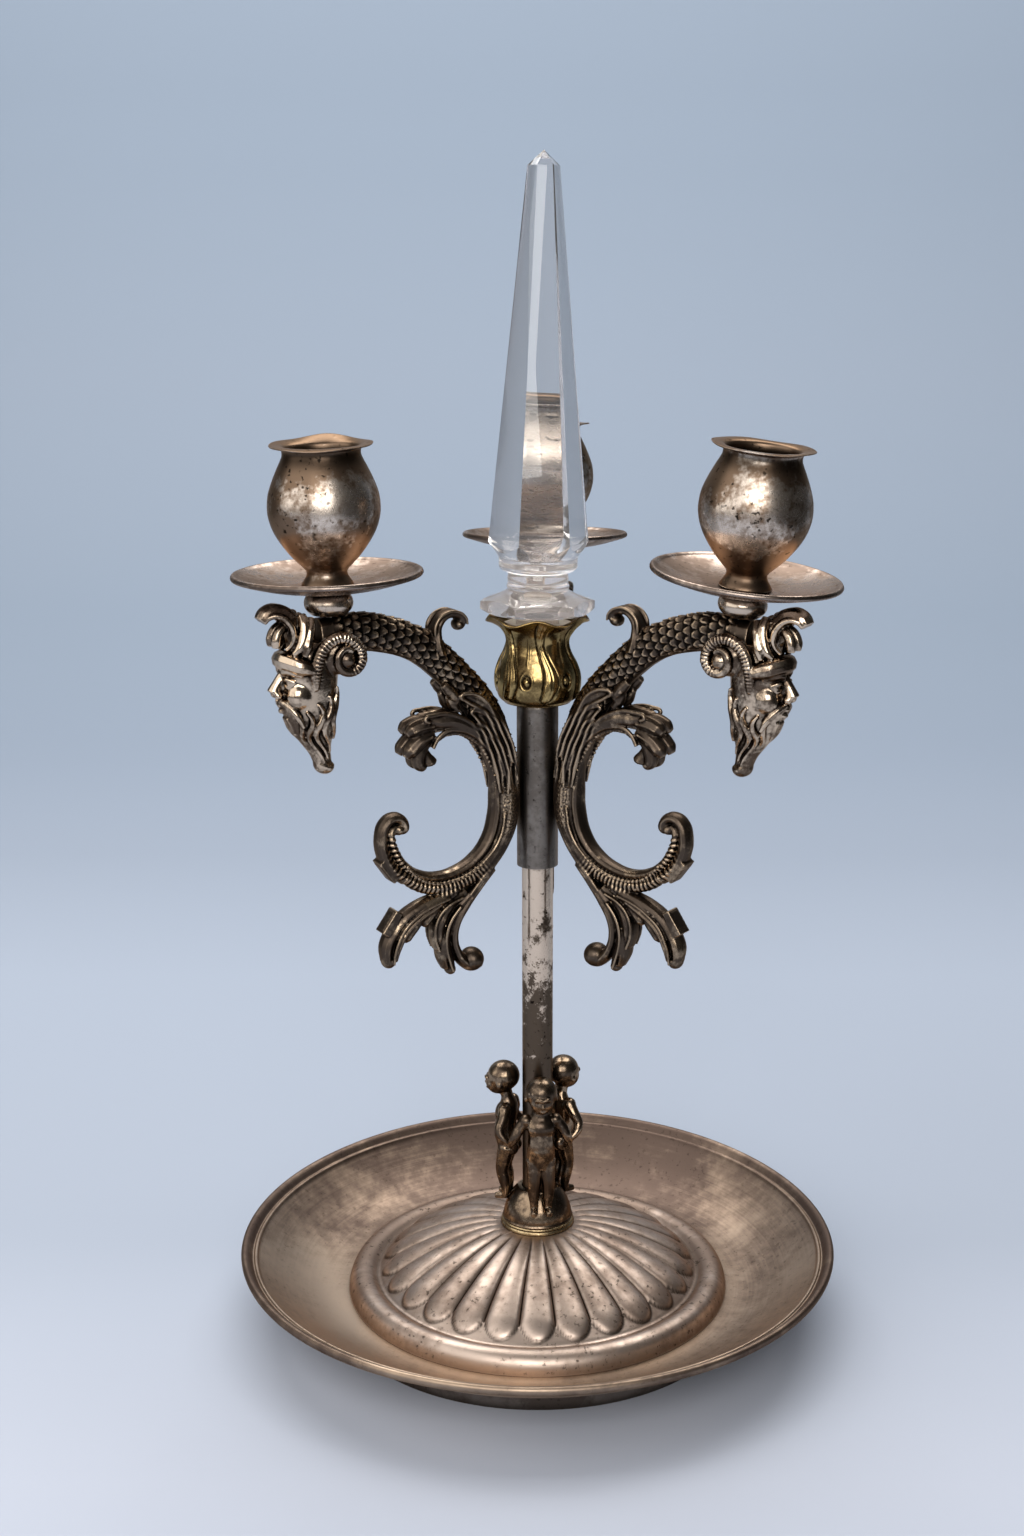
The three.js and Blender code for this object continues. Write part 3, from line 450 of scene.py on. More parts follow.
for side in (-1, 1):
    figure_bars += [
        stroke([(-0.6, 1.9 * side, 18, 2.9), (0.3, 2.0 * side, 13.8, 2.5), (0.9, 2.2 * side, 9.6, 2.0),
                (0.2, 2.2 * side, 6.4, 1.9), (-0.2, 2.1 * side, 2.8, 1.35), (0.0, 2.1 * side, 1.2, 1.3)]),
        stroke([(-0.8, 2.0 * side, 1.2, 1.2), (1.6, 2.2 * side, 1.0, 1.25), (3.2, 2.5 * side, 0.7, 0.95)]),
        blob((-1.6, 1.8 * side, 17.4), (2.9, 2.2, 2.8)),
        blob((-0.6, 4.5 * side, 31.0), (2.1, 2.1, 2.0)),
        stroke([(-0.8, 4.2 * side, 31, 2.1), (-0.7, 6.4 * side, 28.6, 1.85), (-0.2, 8.2 * side, 25.2, 1.6),
                (-1.8, 8.8 * side, 23, 1.35), (-3.6, 8.3 * side, 21.6, 1.2)]),
        blob((-4.0, 8.2 * side, 21.2), (1.3, 1.0, 1.4)),
        blob((1.0, 4.6 * side, 38.8), (0.9, 0.7, 1.2)),
    ]
figure = cast("figure_pattern", figure_bars, 0.27, 9)
# Sunk corners are darkened, painted shade with soot, and raised ones lightened as rubbed.
mark(figure, "soot_and_shade", hollows(figure, 0.02, 0.8, 0.35))
for i, turn in enumerate(FIGURE_TURNS, 1):
    stand = (Matrix.Rotation(math.radians(turn), 4, "Z")
             @ Matrix.Translation((FIGURE_REACH * MM, 0, FIGURE_FOOT * MM)) @ Matrix.Scale(FIGURE_SCALE, 4))
    dress(placed(figure, f"child_{i}", stand), figure_bronze, "base", "bronze", f"putto_{i}")
bpy.data.objects.remove(figure)

# Stem tube: drawn tube, its silver worn through to brass and pitted with black
# specks. It stands on the dome and runs up into the sleeve.
stem = turned("stem", eased([(3.95, 30.2), (3.95, 30.2), (4.85, 30.2), (4.85, 30.2), (4.85, 90), (4.85, 150),
                             (4.85, 197.5), (4.85, 197.5), (3.95, 197.5), (3.95, 197.5), (3.95, 30.2)], 6),
              64)
stem_silver = aged_metal("stem_silver", (0.67, 0.545, 0.43), (0.10, 0.075, 0.055), (0.012, 0.009, 0.007),
                         patch=190, film_at=0.56, polish=0.2, dull=0.34, recess=0.003, spots=1.0,
                         brushed=(900, 900, 25), soft=0.06)
height = mesh_points(stem)[0][:, 2]
# The stem is darker towards the bottom.
mark(stem, "stain_light_and_shade", np.interp(height, (60, 98, 110, 122, 150, 200), (0.24, 0.2, 0.1, -0.01, -0.06, -0.08)))
dress(stem, stem_silver, "base", "silver", "stem_tube")

# Rod, washer and nuts inside the stem and under the dome: plain turned steel.
# They hold the base, the branch and the finial together.


def coat(node, material):
    """Gives a CAD solid that is shown as it is its material."""
    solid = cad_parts[node].data
    solid.materials.clear()
    solid.materials.append(material)


rod_steel = aged_metal("rod_steel", (0.42, 0.41, 0.39), (0.24, 0.2, 0.17), (0.05, 0.04, 0.03), patch=90,
                       film_at=0.5, polish=0.35, dull=0.5, recess=0.002)
for hidden in ("tie_rod", "base_washer", "base_nut", "rod_nut", "sleeve_bush"):
    coat(hidden, rod_steel)

# Arm sleeve: a wider tube of dark steel grey that slides over the stem. The
# three arms are brazed to it, and it turns with them.
sleeve = turned("sleeve", eased([(5.2, 151.6), (5.5, 151.2), (6.0, 151.2), (6.35, 151.7), (6.4, 153),
                                 (6.4, 170), (6.4, 190), (6.4, 201.6), (6.2, 202.1), (5.6, 202.2),
                                 (5.2, 201.8), (5.2, 180), (5.2, 151.6)], 4), 96)
sleeve_steel = aged_metal("sleeve_steel", (0.20, 0.178, 0.158), (0.12, 0.105, 0.093), (0.015, 0.013, 0.011),
                          patch=45, film_at=0.5, polish=0.3, dull=0.4, recess=0.004, spots=0.8,
                          brushed=(1100, 1100, 20))
dress(sleeve, sleeve_steel, "branch", "steel", "arm_sleeve")

# Scroll arms: each is one brass casting, silvered and gone nearly black, brazed to the
# sleeve. Scales cover its upper bar, leaves its bend, and its lower limb ends in curls.
SLEEVE_RADIUS, ARM_LEVEL, ARM_REACH = 6.4, 175.2, 61.8
ARM_TURNS, ARM_LEANS, ARM_LIFTS = (-34.0, 88.0, 208.7), (1.5, 1.5, 0.0), (2.2, 0.0, 0.0)
ARM_SCALE = ARM_REACH / 62  # the pattern below is drawn for a reach of 62 mm
BAR_DEPTH = 0.74
arm_places = [
    Matrix.Rotation(math.radians(turn), 4, "Z")
    @ Matrix.Translation((SLEEVE_RADIUS * MM, 0, (ARM_LEVEL + lift) * MM))
    @ Matrix.Rotation(math.radians(lean), 4, "Y")
    for turn, lean, lift in zip(ARM_TURNS, ARM_LEANS, ARM_LIFTS)
]


def flat(y, *rows):
    """Points (out, up, radius) of the arm's own plane, set at a distance y to one side of it."""
    return [(u, y, v, r) for u, v, r in rows]


def along(points, line):
    """For points (n, 2): how far along a line each lies, how far to its side, and the line's length."""
    line = np.array(line, dtype=float)
    steps = np.diff(line, axis=0)
    lengths = np.hypot(steps[:, 0], steps[:, 1])
    starts = np.concatenate(([0], np.cumsum(lengths)))
    best = np.full(len(points), 1e9)
    run = np.zeros(len(points))
    side = np.zeros(len(points))
    for start, step, length, begun in zip(line, steps, lengths, starts):
        away = points - start
        t = np.clip(away @ step / length ** 2, 0, 1)
        gap = away - t[:, None] * step
        distance = np.hypot(gap[:, 0], gap[:, 1])
        nearer = distance < best
        best[nearer] = distance[nearer]
        run[nearer] = begun + t[nearer] * length
        side[nearer] = (step[0] * away[nearer, 1] - step[1] * away[nearer, 0]) / length
    return run, side, starts[-1]


upper_line = [(66, 54.4), (52.3, 54.6), (45.2, 53.3), (38, 50.9), (32.1, 47.7), (26.5, 43), (21.5, 38),
              (15.5, 31), (11.5, 24), (8, 16), (5.9, 8.5), (5.4, -1)]
upper_sizes = (5.6, 5.8, 5.6, 5.4, 5.4, 5.3, 5.3, 5.5, 5.9, 5.4, 4.7, 4.4)

arm_bars = [
    stroke([(u, 0, v, r) for (u, v), r in zip(upper_line, upper_sizes)], BAR_DEPTH, 12),
    stroke(flat(0, (7.4, 15, 2.0), (5.9, 8, 3.2), (5.3, 2, 4.0), (5.2, -6, 4.0), (7.4, -13.5, 3.5),
                (11.5, -19.7, 3.1), (16.7, -23.8, 2.7), (23.3, -26.1, 2.5), (29.7, -26.2, 2.4),
                (35.5, -24.4, 2.3), (40.3, -20.8, 2.1)), 1.1, 12),
    stroke(flat(0, (10.8, 13, 0.6), (9.4, 7, 1.2), (8.7, 0, 1.7), (9.2, -7, 1.75), (11.7, -14, 1.7),
                (16.4, -19.1, 1.6), (22.4, -22, 1.5), (28.6, -22.9, 1.45), (34, -21.8, 1.45),
                (39.2, -18.6, 1.5), (42.7, -13.8, 1.6), (44.2, -9.3, 1.6), (43.9, -6.3, 1.4),
                (42.4, -5.2, 1.2)), 1.9, 12),
    stroke(flat(0, (39.5, -22, 2.2), (44.2, -18.2, 2.1), (46.7, -13.3, 1.95), (47.2, -8.2, 1.85),
                (45.8, -4.1, 1.75), (42.9, -2.6, 1.7), (40.3, -3.9, 1.7), (39.8, -6.1, 1.7), (41, -7.2, 1.3)),
           1.75, 12),
    stroke(flat(0, (28, 46, 2.4), (28.6, 50.8, 2.0), (27.8, 54.6, 1.5), (25.2, 57.3, 1.4), (22.2, 57.6, 1.4),
                (20, 55.9, 1.3), (20.3, 53.9, 1.2), (22, 53.7, 1.0)), 2.1, 12),
    stroke(flat(0, (22, -27, 1.8), (29, -29.7, 1.9), (35.5, -31.8, 2.0), (40.5, -34.6, 2.0),
                (44.2, -38.8, 2.0), (46.2, -43, 2.0), (46.1, -47.2, 1.7)), 1.7, 12),
    stroke(flat(0, (23, -28.6, 1.3), (30.5, -32.4, 1.5), (36, -35.4, 1.5), (40.2, -39, 1.5),
                (42.7, -43.2, 1.5), (44, -47.3, 1.3)), 2.2, 12),
    stroke(flat(0, (26.5, -30.6, 1.2), (30.6, -34, 1.8), (33.3, -36.9, 1.7), (34, -38, 1.0)), 1.7),
    stroke(flat(0, (33, -34, 1.3), (37.2, -37.8, 1.9), (39.6, -40.9, 1.7), (40.4, -42, 1.0)), 1.7),
    stroke(flat(0, (10.2, -22.5, 1.6), (15.7, -28.4, 1.7), (19.9, -33.4, 1.8), (22.8, -38.4, 1.7),
                (23.7, -43.2, 1.7), (22.6, -47.8, 1.7), (20.4, -51.2, 1.9), (17.6, -53.4, 1.7),
                (14.2, -52.9, 1.3)), 1.9, 12),
    stroke(flat(0, (14, -26, 1.2), (20.2, -31.6, 1.3), (23.8, -35.4, 1.4), (26, -39.9, 1.4),
                (26.4, -44.9, 1.4), (25.1, -50, 1.4), (24.3, -53.4, 1.2)), 2.3, 12),
    stroke(flat(0, (19.5, -28.6, 1.5), (25.3, -32.6, 1.9), (28.4, -37, 2.2), (29.2, -41.8, 2.1),
                (28.9, -46, 1.4)), 1.7),
    stroke(flat(0, (24.5, -37, 1.5), (27.5, -43, 1.7), (27.6, -48.6, 1.7), (26.2, -52.6, 1.2)), 2.0),
    blob((16.9, 0, -51.3), (3.7, 4.4, 3.7)),
    blob((45.4, 0, -47.4), (2.2, 3.0, 2.3)),
    blob((24.6, 0, -53.2), (1.7, 2.7, 1.9)),
    blob((21.0, 0, 54.4), (1.6, 2.8, 1.6)),
    blob((41.6, 0, -6.3), (1.9, 3.0, 1.9)),
]
for face in (-1, 1):
    arm_bars += [
        stroke(flat(3.5 * face, (21.6, 33.1, 1.0), (19, 32.5, 1.6), (15.5, 30.8, 1.9), (12, 27.4, 1.9),
                    (9, 23.4, 1.7), (6.6, 18.6, 1.4), (4.6, 12.4, 1.1))),
        stroke(flat(5.0 * face, (20.4, 31.6, 0.5), (22.3, 33.2, 0.6), (19.6, 33.9, 0.65), (16, 32.8, 0.65),
                    (13.3, 30.4, 0.65), (10.8, 26.7, 0.65), (8.2, 22.9, 0.6), (5.6, 18.6, 0.55),
                    (3.9, 13, 0.45))),
        stroke(flat(5.0 * face, (21.8, 32.6, 0.55), (19.9, 31.2, 0.65), (16.4, 29.2, 0.65), (13, 26.9, 0.65),
                    (10, 24, 0.65), (7.4, 20.2, 0.6), (5.2, 15.6, 0.55), (3.9, 10, 0.5), (3.2, 4, 0.45))),
        stroke(flat(3.4 * face, (18.2, 27.7, 1.0), (15.5, 26.2, 1.6), (12.5, 23.4, 1.9), (9.6, 19.4, 1.8),
                    (7.3, 15, 1.5), (5.6, 9.6, 1.2))),
        stroke(flat(4.9 * face, (18.2, 27.2, 0.5), (18.7, 28.2, 0.6), (16.4, 28.2, 0.65), (13.9, 26.8, 0.65),
                    (11.3, 24.1, 0.65), (8.4, 20.3, 0.65), (6.2, 16.2, 0.6), (4.5, 11, 0.5))),
        stroke(flat(4.9 * face, (18.4, 27.4, 0.55), (15.6, 24.4, 0.65), (12.6, 21.4, 0.65), (10, 18, 0.65),
                    (8, 14, 0.6), (6.3, 8.6, 0.55), (5.4, 2.6, 0.45))),
        stroke(flat(3.0 * face, (33, 26.6, 1.3), (29, 26, 2.3), (25, 25.9, 2.7), (20.5, 24.2, 2.5),
                    (16, 21.1, 2.2), (12.7, 17.6, 1.9), (10.2, 13.2, 1.6), (8.5, 8.2, 1.4), (7.4, 1.6, 1.2))),
        stroke(flat(4.8 * face, (32.4, 26.2, 0.5), (34, 27.4, 0.65), (30.9, 28.4, 0.7), (25.8, 28.2, 0.7),
                    (22, 26.7, 0.7), (18.2, 24.3, 0.7), (14.4, 21.1, 0.7), (11.4, 17.8, 0.65),
                    (8.9, 13.3, 0.6), (7.2, 8, 0.55), (6.4, 1.4, 0.45))),
        stroke(flat(4.3 * face, (31.4, 18.2, 0.6), (29.4, 21.4, 0.7), (26.2, 23.2, 0.7), (22.9, 23, 0.7),
                    (19.5, 21.9, 0.7), (16.2, 19.8, 0.7), (13.6, 17, 0.65), (11.5, 13.4, 0.65),
                    (9.8, 8.6, 0.6), (8.7, 1.8, 0.5))),
        stroke(flat(2.2 * face, (29.4, 25.2, 1.8), (34.2, 25.0, 2.7), (37.6, 23.9, 2.4), (39.2, 22.8, 1.2)),
               1.05, 8),
        stroke(flat(2.6 * face, (30.5, 22.4, 1.6), (35.2, 20.6, 2.6), (38.6, 17.6, 2.4), (39.7, 16.0, 1.2)),
               1.05, 8),
        stroke(flat(2.0 * face, (31, 21, 1.4), (34.8, 17.0, 2.2), (35.2, 13.6, 2.1), (33.2, 12.0, 1.4)), 1.05,
               8),
        stroke(flat(4.7 * face, (31, 25.0, 0.4), (34.4, 24.8, 0.5), (37.8, 23.7, 0.4))),
        stroke(flat(5.0 * face, (31.6, 22, 0.4), (35, 20.6, 0.5), (38.2, 17.8, 0.4))),
        stroke(flat(1.6 * face, (33.6, 18, 1.3), (32.4, 15.2, 1.8), (31.4, 13.4, 2.4), (31.2, 12.6, 1.7))),
        stroke(flat(3.6 * face, (27.6, 37.2, 1.2), (25.6, 35.2, 1.8), (23.8, 33, 1.7), (23, 31.2, 1.0))),
        stroke(flat(2.8 * face, (25.6, 33.6, 1.0), (24, 30.6, 1.7), (22.4, 28.4, 1.4))),
        stroke(flat(2.4 * face, (2.8, 10, 0.9), (2.2, 0, 1.0), (3.2, -9, 1.0), (6.0, -15.4, 0.95),
                    (9.9, -20.7, 0.9), (14.0, -25, 0.8), (18.4, -30, 0.7))),
        stroke(flat(4.0 * face, (7.0, -5, 0.3), (8.7, -12.4, 0.5), (13.7, -18.8, 0.55), (19.2, -22.4, 0.55),
                    (25.7, -24.1, 0.5), (31.4, -23.9, 0.5), (36.4, -21.6, 0.45), (40.6, -17, 0.4))),
        stroke(flat(3.5 * face, (25.7, -29.6, 0.45), (32.6, -31.6, 0.5), (37.1, -34, 0.5), (40.8, -37, 0.5),
                    (43.1, -40.8, 0.5), (44.5, -44.8, 0.45), (44.8, -48, 0.35))),
        stroke(flat(3.4 * face, (22, -32.7, 0.45), (25.3, -36.6, 0.5), (27, -41, 0.5), (27.1, -45.5, 0.45),
                    (26, -50, 0.4), (24.8, -53.6, 0.35))),
        stroke(flat(3.2 * face, (21, -30, 0.4), (26.8, -32.4, 0.5), (30, -36.2, 0.5), (30.8, -41.3, 0.45),
                    (29.4, -46.2, 0.4))),
        stroke(flat(3.0 * face, (29, 50, 0.5), (29.6, 53.2, 0.55), (28.7, 56.2, 0.55), (25.8, 58.4, 0.5),
                    (22.4, 58.6, 0.5), (19.4, 56.6, 0.45), (18.9, 54.4, 0.4))),
    ]
    for k in range(17):
        t = k / 16
        u = np.interp(t, (0, 0.3, 0.6, 0.85, 1), (14.4, 9.5, 5.8, 3.8, 3.0))
        v = np.interp(t, (0, 0.3, 0.6, 0.85, 1), (34.6, 28.0, 20.8, 15.0, 11))
        arm_bars.append(stroke([(u - 0.9, 3.3 * face, v - 0.5, 0.45), (u + 0.9, 4.3 * face, v - 1.6, 0.65)],
                               rings=2))
    for k in range(26):
        t = k / 25
        u = np.interp(t, (0, 0.15, 0.3, 0.45, 0.6, 0.75, 0.9, 1),
                      (30.6, 27, 23.4, 19.4, 15.6, 12.6, 10.6, 9.9))
        v = np.interp(t, (0, 0.15, 0.3, 0.45, 0.6, 0.75, 0.9, 1),
                      (19.6, 21.7, 21.9, 20.7, 18, 13.6, 8.2, 3.4))
        bead = 0.66 * min(1, 0.25 + 4 * (1 - t))
        arm_bars.append(blob((u, 3.3 * face, v), (bead, bead, bead)))
tie_blocks = (((43.1, -21.8), (47.8, -15.2), 3.0), ((42.4, -31.8), (47.2, -38.4), 2.8))
for (u0, v0), (u1, v1), half in tie_blocks:
    slope = math.atan2(v1 - v0, u1 - u0)
    length = math.hypot(u1 - u0, v1 - v0)
    for shift, thick, wide, long in ((0, 2.4, half, length), (1.0, 0.9, half - 0.9, length - 1.6)):
        bpy.ops.object.select_all(action="DESELECT")
        bpy.ops.mesh.primitive_cube_add(size=MM)
        block = bpy.context.object
        out = -shift if v0 < v1 else shift
        block.data.transform(Matrix.Translation(((u0 + u1) / 2 * MM, 0, (v0 + v1) / 2 * MM))
                             @ Matrix.Rotation(-slope, 4, "Y") @ Matrix.Translation((0, 0, out * MM))
                             @ Matrix.Diagonal((long, 2 * wide, thick, 1)))
        arm_bars.append(block)
arm = cast("arm_pattern", arm_bars, 0.3, 2, 0.45)
points, normals = mesh_points(arm)
plane = points[:, [0, 2]]
soot_and_shade = np.zeros(len(points))
run, side, _ = along(plane, upper_line)
stations = np.concatenate(([0], np.cumsum(np.hypot(*np.diff(np.array(upper_line), axis=0).T))))
bar_radius = np.interp(run, stations, upper_sizes)
girth = np.arctan2(points[:, 1] / BAR_DEPTH, side) * 5.0
on_bar = band(np.hypot(side, points[:, 1] / BAR_DEPTH), bar_radius, 0.5, 4)
on_bar *= grown(run, 3, 3) * grown(72 - run, 0, 8) * grown(np.abs(girth), 2.2, 1.2)
pitch, width, lift = 2.7, 2.6, 0.62  # of the scales
height = np.zeros(len(points))
rubbed = np.zeros(len(points))
for ahead in (0, 1):
    row = np.floor(run / pitch) - ahead
    within = run / pitch - row
    column = np.mod(girth / width + 0.5 * np.mod(row, 2), 1.0) - 0.5
    reach = np.sqrt((within / 1.5) ** 2 + (column / 0.55) ** 2)
    height = np.where(reach < 1, lift * np.clip(within / 1.5, 0, 1) ** 1.5, height)
    rubbed = np.where(reach < 1, grown(reach, 0.72, 0.2) * np.clip(within - 0.5, 0, 1), rubbed)
points += normals * (height * on_bar)[:, None]
soot_and_shade += on_bar * (0.3 + 0.7 * grown(0.3 - height, 0, 0.25) - 0.85 * rubbed)
flow = np.cos(2 * math.pi * (side - 0.5) / 1.8)
combed = grown(run, 60, 8) * grown(91 - run, 0, 5)
combed *= grown(np.abs(points[:, 1]), 2.0, 1.2)
combed *= band(side, 0, 6, 6)
points += normals * (0.24 * flow * combed)[:, None]
soot_and_shade -= 0.6 * flow * combed
limb = [(6.2, -9), (8, -14.5), (11.6, -20), (16.7, -24), (23.3, -26.3), (29.7, -26.4), (35.5, -24.7),
        (40.3, -21), (43.2, -16), (44.3, -11), (43.9, -7)]
run, side, whole = along(plane, limb)
share = np.clip(run / whole, 0, 1)
hatched = band(side, 0.2, 2.3, 4) * grown(run, 12, 6) * grown(whole - run, 0, 3)
ribs = np.sin(2 * math.pi * run / (1.1 + 0.3 * share))
points += normals * ((0.12 + 0.12 * share) * ribs * hatched)[:, None]
soot_and_shade += hatched * -0.6 * ribs
rng = np.random.default_rng(7)
stippled = band(points[:, 0], 5.6, 2.4, 4) * grown(10 - np.abs(points[:, 2] + 4), 0, 4)
points += normals * (0.1 * stippled * rng.normal(size=len(points)))[:, None]
soot_and_shade -= 0.4 * stippled
points *= ARM_SCALE
set_points(arm, points)
# Sunk corners are darkened, painted shade with soot, and raised ones lightened as rubbed.
mark(arm, "soot_and_shade", soot_and_shade + hollows(arm, 0.035, 0.8, 0.55))
shaped(arm, "DECIMATE", ratio=0.6)
arm_silver = aged_metal("arm_silver", (0.335, 0.255, 0.177), (0.07, 0.053, 0.041), (0.007, 0.0055, 0.0045),
                        patch=70, film_at=0.38, polish=0.22, dull=0.36, recess=0.0022, edge=1.0, spots=0.3)
for i, place in enumerate(arm_places, 1):
    dress(placed(arm, f"scroll_{i}", place), arm_silver, "branch", "castBrass", f"arm_scroll_{i}")
bpy.data.objects.remove(arm)

# Masks: cast bearded heads that cap the arm ends, soldered on. A ribbed horn coils at
# each side, a leaf of hair curls forward over the brow, and the beard falls in waves.
# The head from the tip of the beard to the crown: height, middle, half width, half depth.
head_levels = ((15.6, 64.7, 1.8, 1.6), (17.6, 64.9, 2.4, 2.1), (21, 65.7, 2.9, 2.6), (24.6, 66.8, 4.6, 3.9),
               (28, 68.0, 6.4, 5.2), (32, 68.9, 7.7, 6.2), (36, 69.3, 8.2, 6.6), (40, 69, 8.6, 6.9),
               (44, 68.8, 8.7, 7.1), (48, 68.6, 8.2, 6.8), (51.5, 68.4, 6.6, 5.6), (53.6, 68.2, 4.2, 3.8))
bpy.ops.object.select_all(action="DESELECT")
v0, u0, a0, b0 = head_levels[0]
bpy.ops.mesh.primitive_circle_add(vertices=32, radius=MM, fill_type="NGON")
skull = bpy.context.object
bpy.ops.object.mode_set(mode="EDIT")
bpy.ops.transform.resize(value=(a0, b0, 1), center_override=(0, 0, 0))
bpy.ops.transform.translate(value=(u0 * MM, 0, v0 * MM))
for v1, u1, a1, b1 in head_levels[1:]:
    bpy.ops.mesh.extrude_region_move(TRANSFORM_OT_translate={"value": ((u1 - u0) * MM, 0, (v1 - v0) * MM)})
    bpy.ops.transform.resize(value=(a1 / a0, b1 / b0, 1), center_override=(u1 * MM, 0, v1 * MM))
    v0, u0, a0, b0 = v1, u1, a1, b1
bpy.ops.mesh.select_all(action="SELECT")
bpy.ops.mesh.normals_make_consistent(inside=False)
bpy.ops.object.mode_set(mode="OBJECT")


def lock(s, start, top, bottom, sway):
    """One lock of beard: from an angle off the front it waves down one side over the head's surface."""
    levels = np.array(head_levels)
    rows = []
    for k in range(9):
        t = k / 8
        v = top + (bottom - top) * t
        middle, wide, deep = (np.interp(v, levels[:, 0], levels[:, c]) for c in (1, 2, 3))
        turn = math.radians(start + sway * math.sin(2.3 * math.pi * t + 0.4))
        thick = max(0.6, 0.17 * (wide + deep) / 2) * (1 - 0.4 * t ** 4) * (0.3 + 0.7 * min(1, 3 * t))
        rows.append((middle + (wide + 0.4) * math.cos(turn), s * (deep + 0.4) * math.sin(turn), v, thick))
    return stroke(rows, rings=5)


head_bars = [
    skull,
    blob((73.0, 0, 46.4), (4.8, 5.8, 3.6)),
    blob((75.0, 0, 34.8), (2.9, 3.6, 3.0)),
    stroke([(76.0, 0, 45.6, 1.4), (78.4, 0, 41.8, 1.7), (80.0, 0, 38.9, 2.1)]),
    stroke([(74.4, 0, 32.4, 2.8), (72.4, 0, 28.6, 2.8), (69.8, 0, 24.6, 2.4), (67.4, 0, 20.6, 2.0),
            (66.0, 0, 17.4, 2.0)], 1.25),
    stroke([(66.2, 0, 18.0, 2.1), (65.4, 0, 16.2, 2.5), (63.8, 0, 15.8, 2.2), (63.0, 0, 17.2, 1.5)], 1.2),
]
for s in (-1, 1):
    head_bars += [
        stroke([(72.6, 6.0 * s, 44.6, 1.2), (76.0, 3.8 * s, 45.8, 1.45), (77.2, 1.0 * s, 45.2, 1.2)]),
        blob((73.2, 3.8 * s, 38.2), (4.0, 3.3, 4.2)),
        blob((78.9, 1.5 * s, 38.4), (1.3, 1.2, 1.1)),
        blob((61.0, 5.2 * s, 49.2), (5.6, 3.0, 5.6)),
    ]
mask_bars = [
    cast("mask_form", head_bars, 0.32, 9),
    stroke([(76.7, -2.2, 35.2, 0.55), (78.1, 0, 35.6, 0.8), (76.7, 2.2, 35.2, 0.55)]),
    stroke([(76.4, -1.8, 33.9, 0.55), (77.7, 0, 33.7, 0.85), (76.4, 1.8, 33.9, 0.55)]),
    stroke([(71.0, 0, 49, 3.8), (72.0, 0, 54.5, 3.5), (74.3, 0, 59.4, 3.0), (78.2, 0, 62.6, 2.4),
            (81.6, 0, 62.2, 2.2), (83.2, 0, 60.2, 1.9)], 1.45, 12),
    stroke([(69.8, -7.4, 45.8, 1.7), (74.0, -5.6, 47.4, 2.7), (76.6, 0, 48.4, 3.0), (74.0, 5.6, 47.4, 2.7),
            (69.8, 7.4, 45.8, 1.7)], rings=12),
]
for s in (-1, 1):
    mask_bars += [
        blob((75.4, 3.3 * s, 42.2), (1.75, 1.7, 1.4)),
        stroke([(77.0, 1.6 * s, 42.5, 0.45), (77.1, 3.3 * s, 43.3, 0.55), (75.0, 5.0 * s, 42.5, 0.5)]),
        stroke([(76.9, 1.7 * s, 41.7, 0.4), (76.8, 3.3 * s, 41.0, 0.45), (75.0, 4.9 * s, 41.8, 0.4)]),
        stroke([(78.2, 0.8 * s, 36.9, 0.8), (76.9, 3.2 * s, 35.6, 1.15), (74.8, 5.2 * s, 32.8, 1.1),
                (73.0, 6.0 * s, 29.2, 0.5)]),
        *(lock(s, *row) for row in ((10, 31.6, 19.0, 8), (36, 32.4, 17.4, 13), (62, 33.8, 17.6, 14),
                                    (88, 35.8, 18.6, 14), (113, 38.0, 20.6, 12), (138, 40.2, 24.4, 9))),
        stroke([(76.9, 3.2 * s, 51.8, 0.6), (75.3, 4.2 * s, 53.8, 0.8), (74.9, 4.6 * s, 56.6, 0.9),
                (76.3, 4.3 * s, 59.9, 0.9), (78.9, 3.7 * s, 61.7, 0.85), (81.6, 2.9 * s, 61.3, 0.8),
                (82.7, 2.3 * s, 59.9, 0.65)], rings=10),
        stroke([(75.2, 1.3 * s, 59, 1.4), (78.0, 1.7 * s, 57.2, 1.6), (79.3, 1.9 * s, 54.4, 1.6),
                (79.3, 1.9 * s, 52.4, 1.2)], rings=8),
        stroke([(72.0, 3.4 * s, 61.8, 1.3), (71.8, 4.8 * s, 59, 1.6), (72.5, 5.7 * s, 55, 1.6),
                (74.0, 5.8 * s, 52.1, 1.3), (75.4, 5.2 * s, 50.6, 0.8)], rings=8),
        stroke([(69.4, 3.8 * s, 60.6, 1.3), (70.4, 5.6 * s, 57, 1.6), (71.6, 6.6 * s, 52.8, 1.5),
                (72.6, 6.7 * s, 50.0, 0.9)], rings=8),
        stroke([(69.4, 6.4 * s, 40.2, 1.0), (69.6, 7.0 * s, 44, 1.6), (69.0, 7.4 * s, 48, 1.85),
                (67.5, 7.6 * s, 51.6, 1.9), (65.0, 7.7 * s, 54, 1.9), (61.8, 7.8 * s, 54.9, 1.85),
                (58.6, 7.9 * s, 53.9, 1.8), (56.3, 8.0 * s, 51.3, 1.75), (55.7, 8.1 * s, 48.2, 1.7),
                (57.2, 8.2 * s, 45.6, 1.6), (59.9, 8.3 * s, 44.8, 1.5), (62.3, 8.4 * s, 46.1, 1.4),
                (63.1, 8.5 * s, 48.6, 1.3), (62.2, 8.6 * s, 50.9, 1.15), (60.2, 8.7 * s, 51.7, 1.0),
                (58.6, 8.7 * s, 50.7, 0.8)], rings=10),
        blob((60.2, 8.5 * s, 48.4), (2.3, 1.9, 2.3)),
    ]
head = cast("mask_pattern", mask_bars, 0.26, 3, 0.5)
points, normals = mesh_points(head)
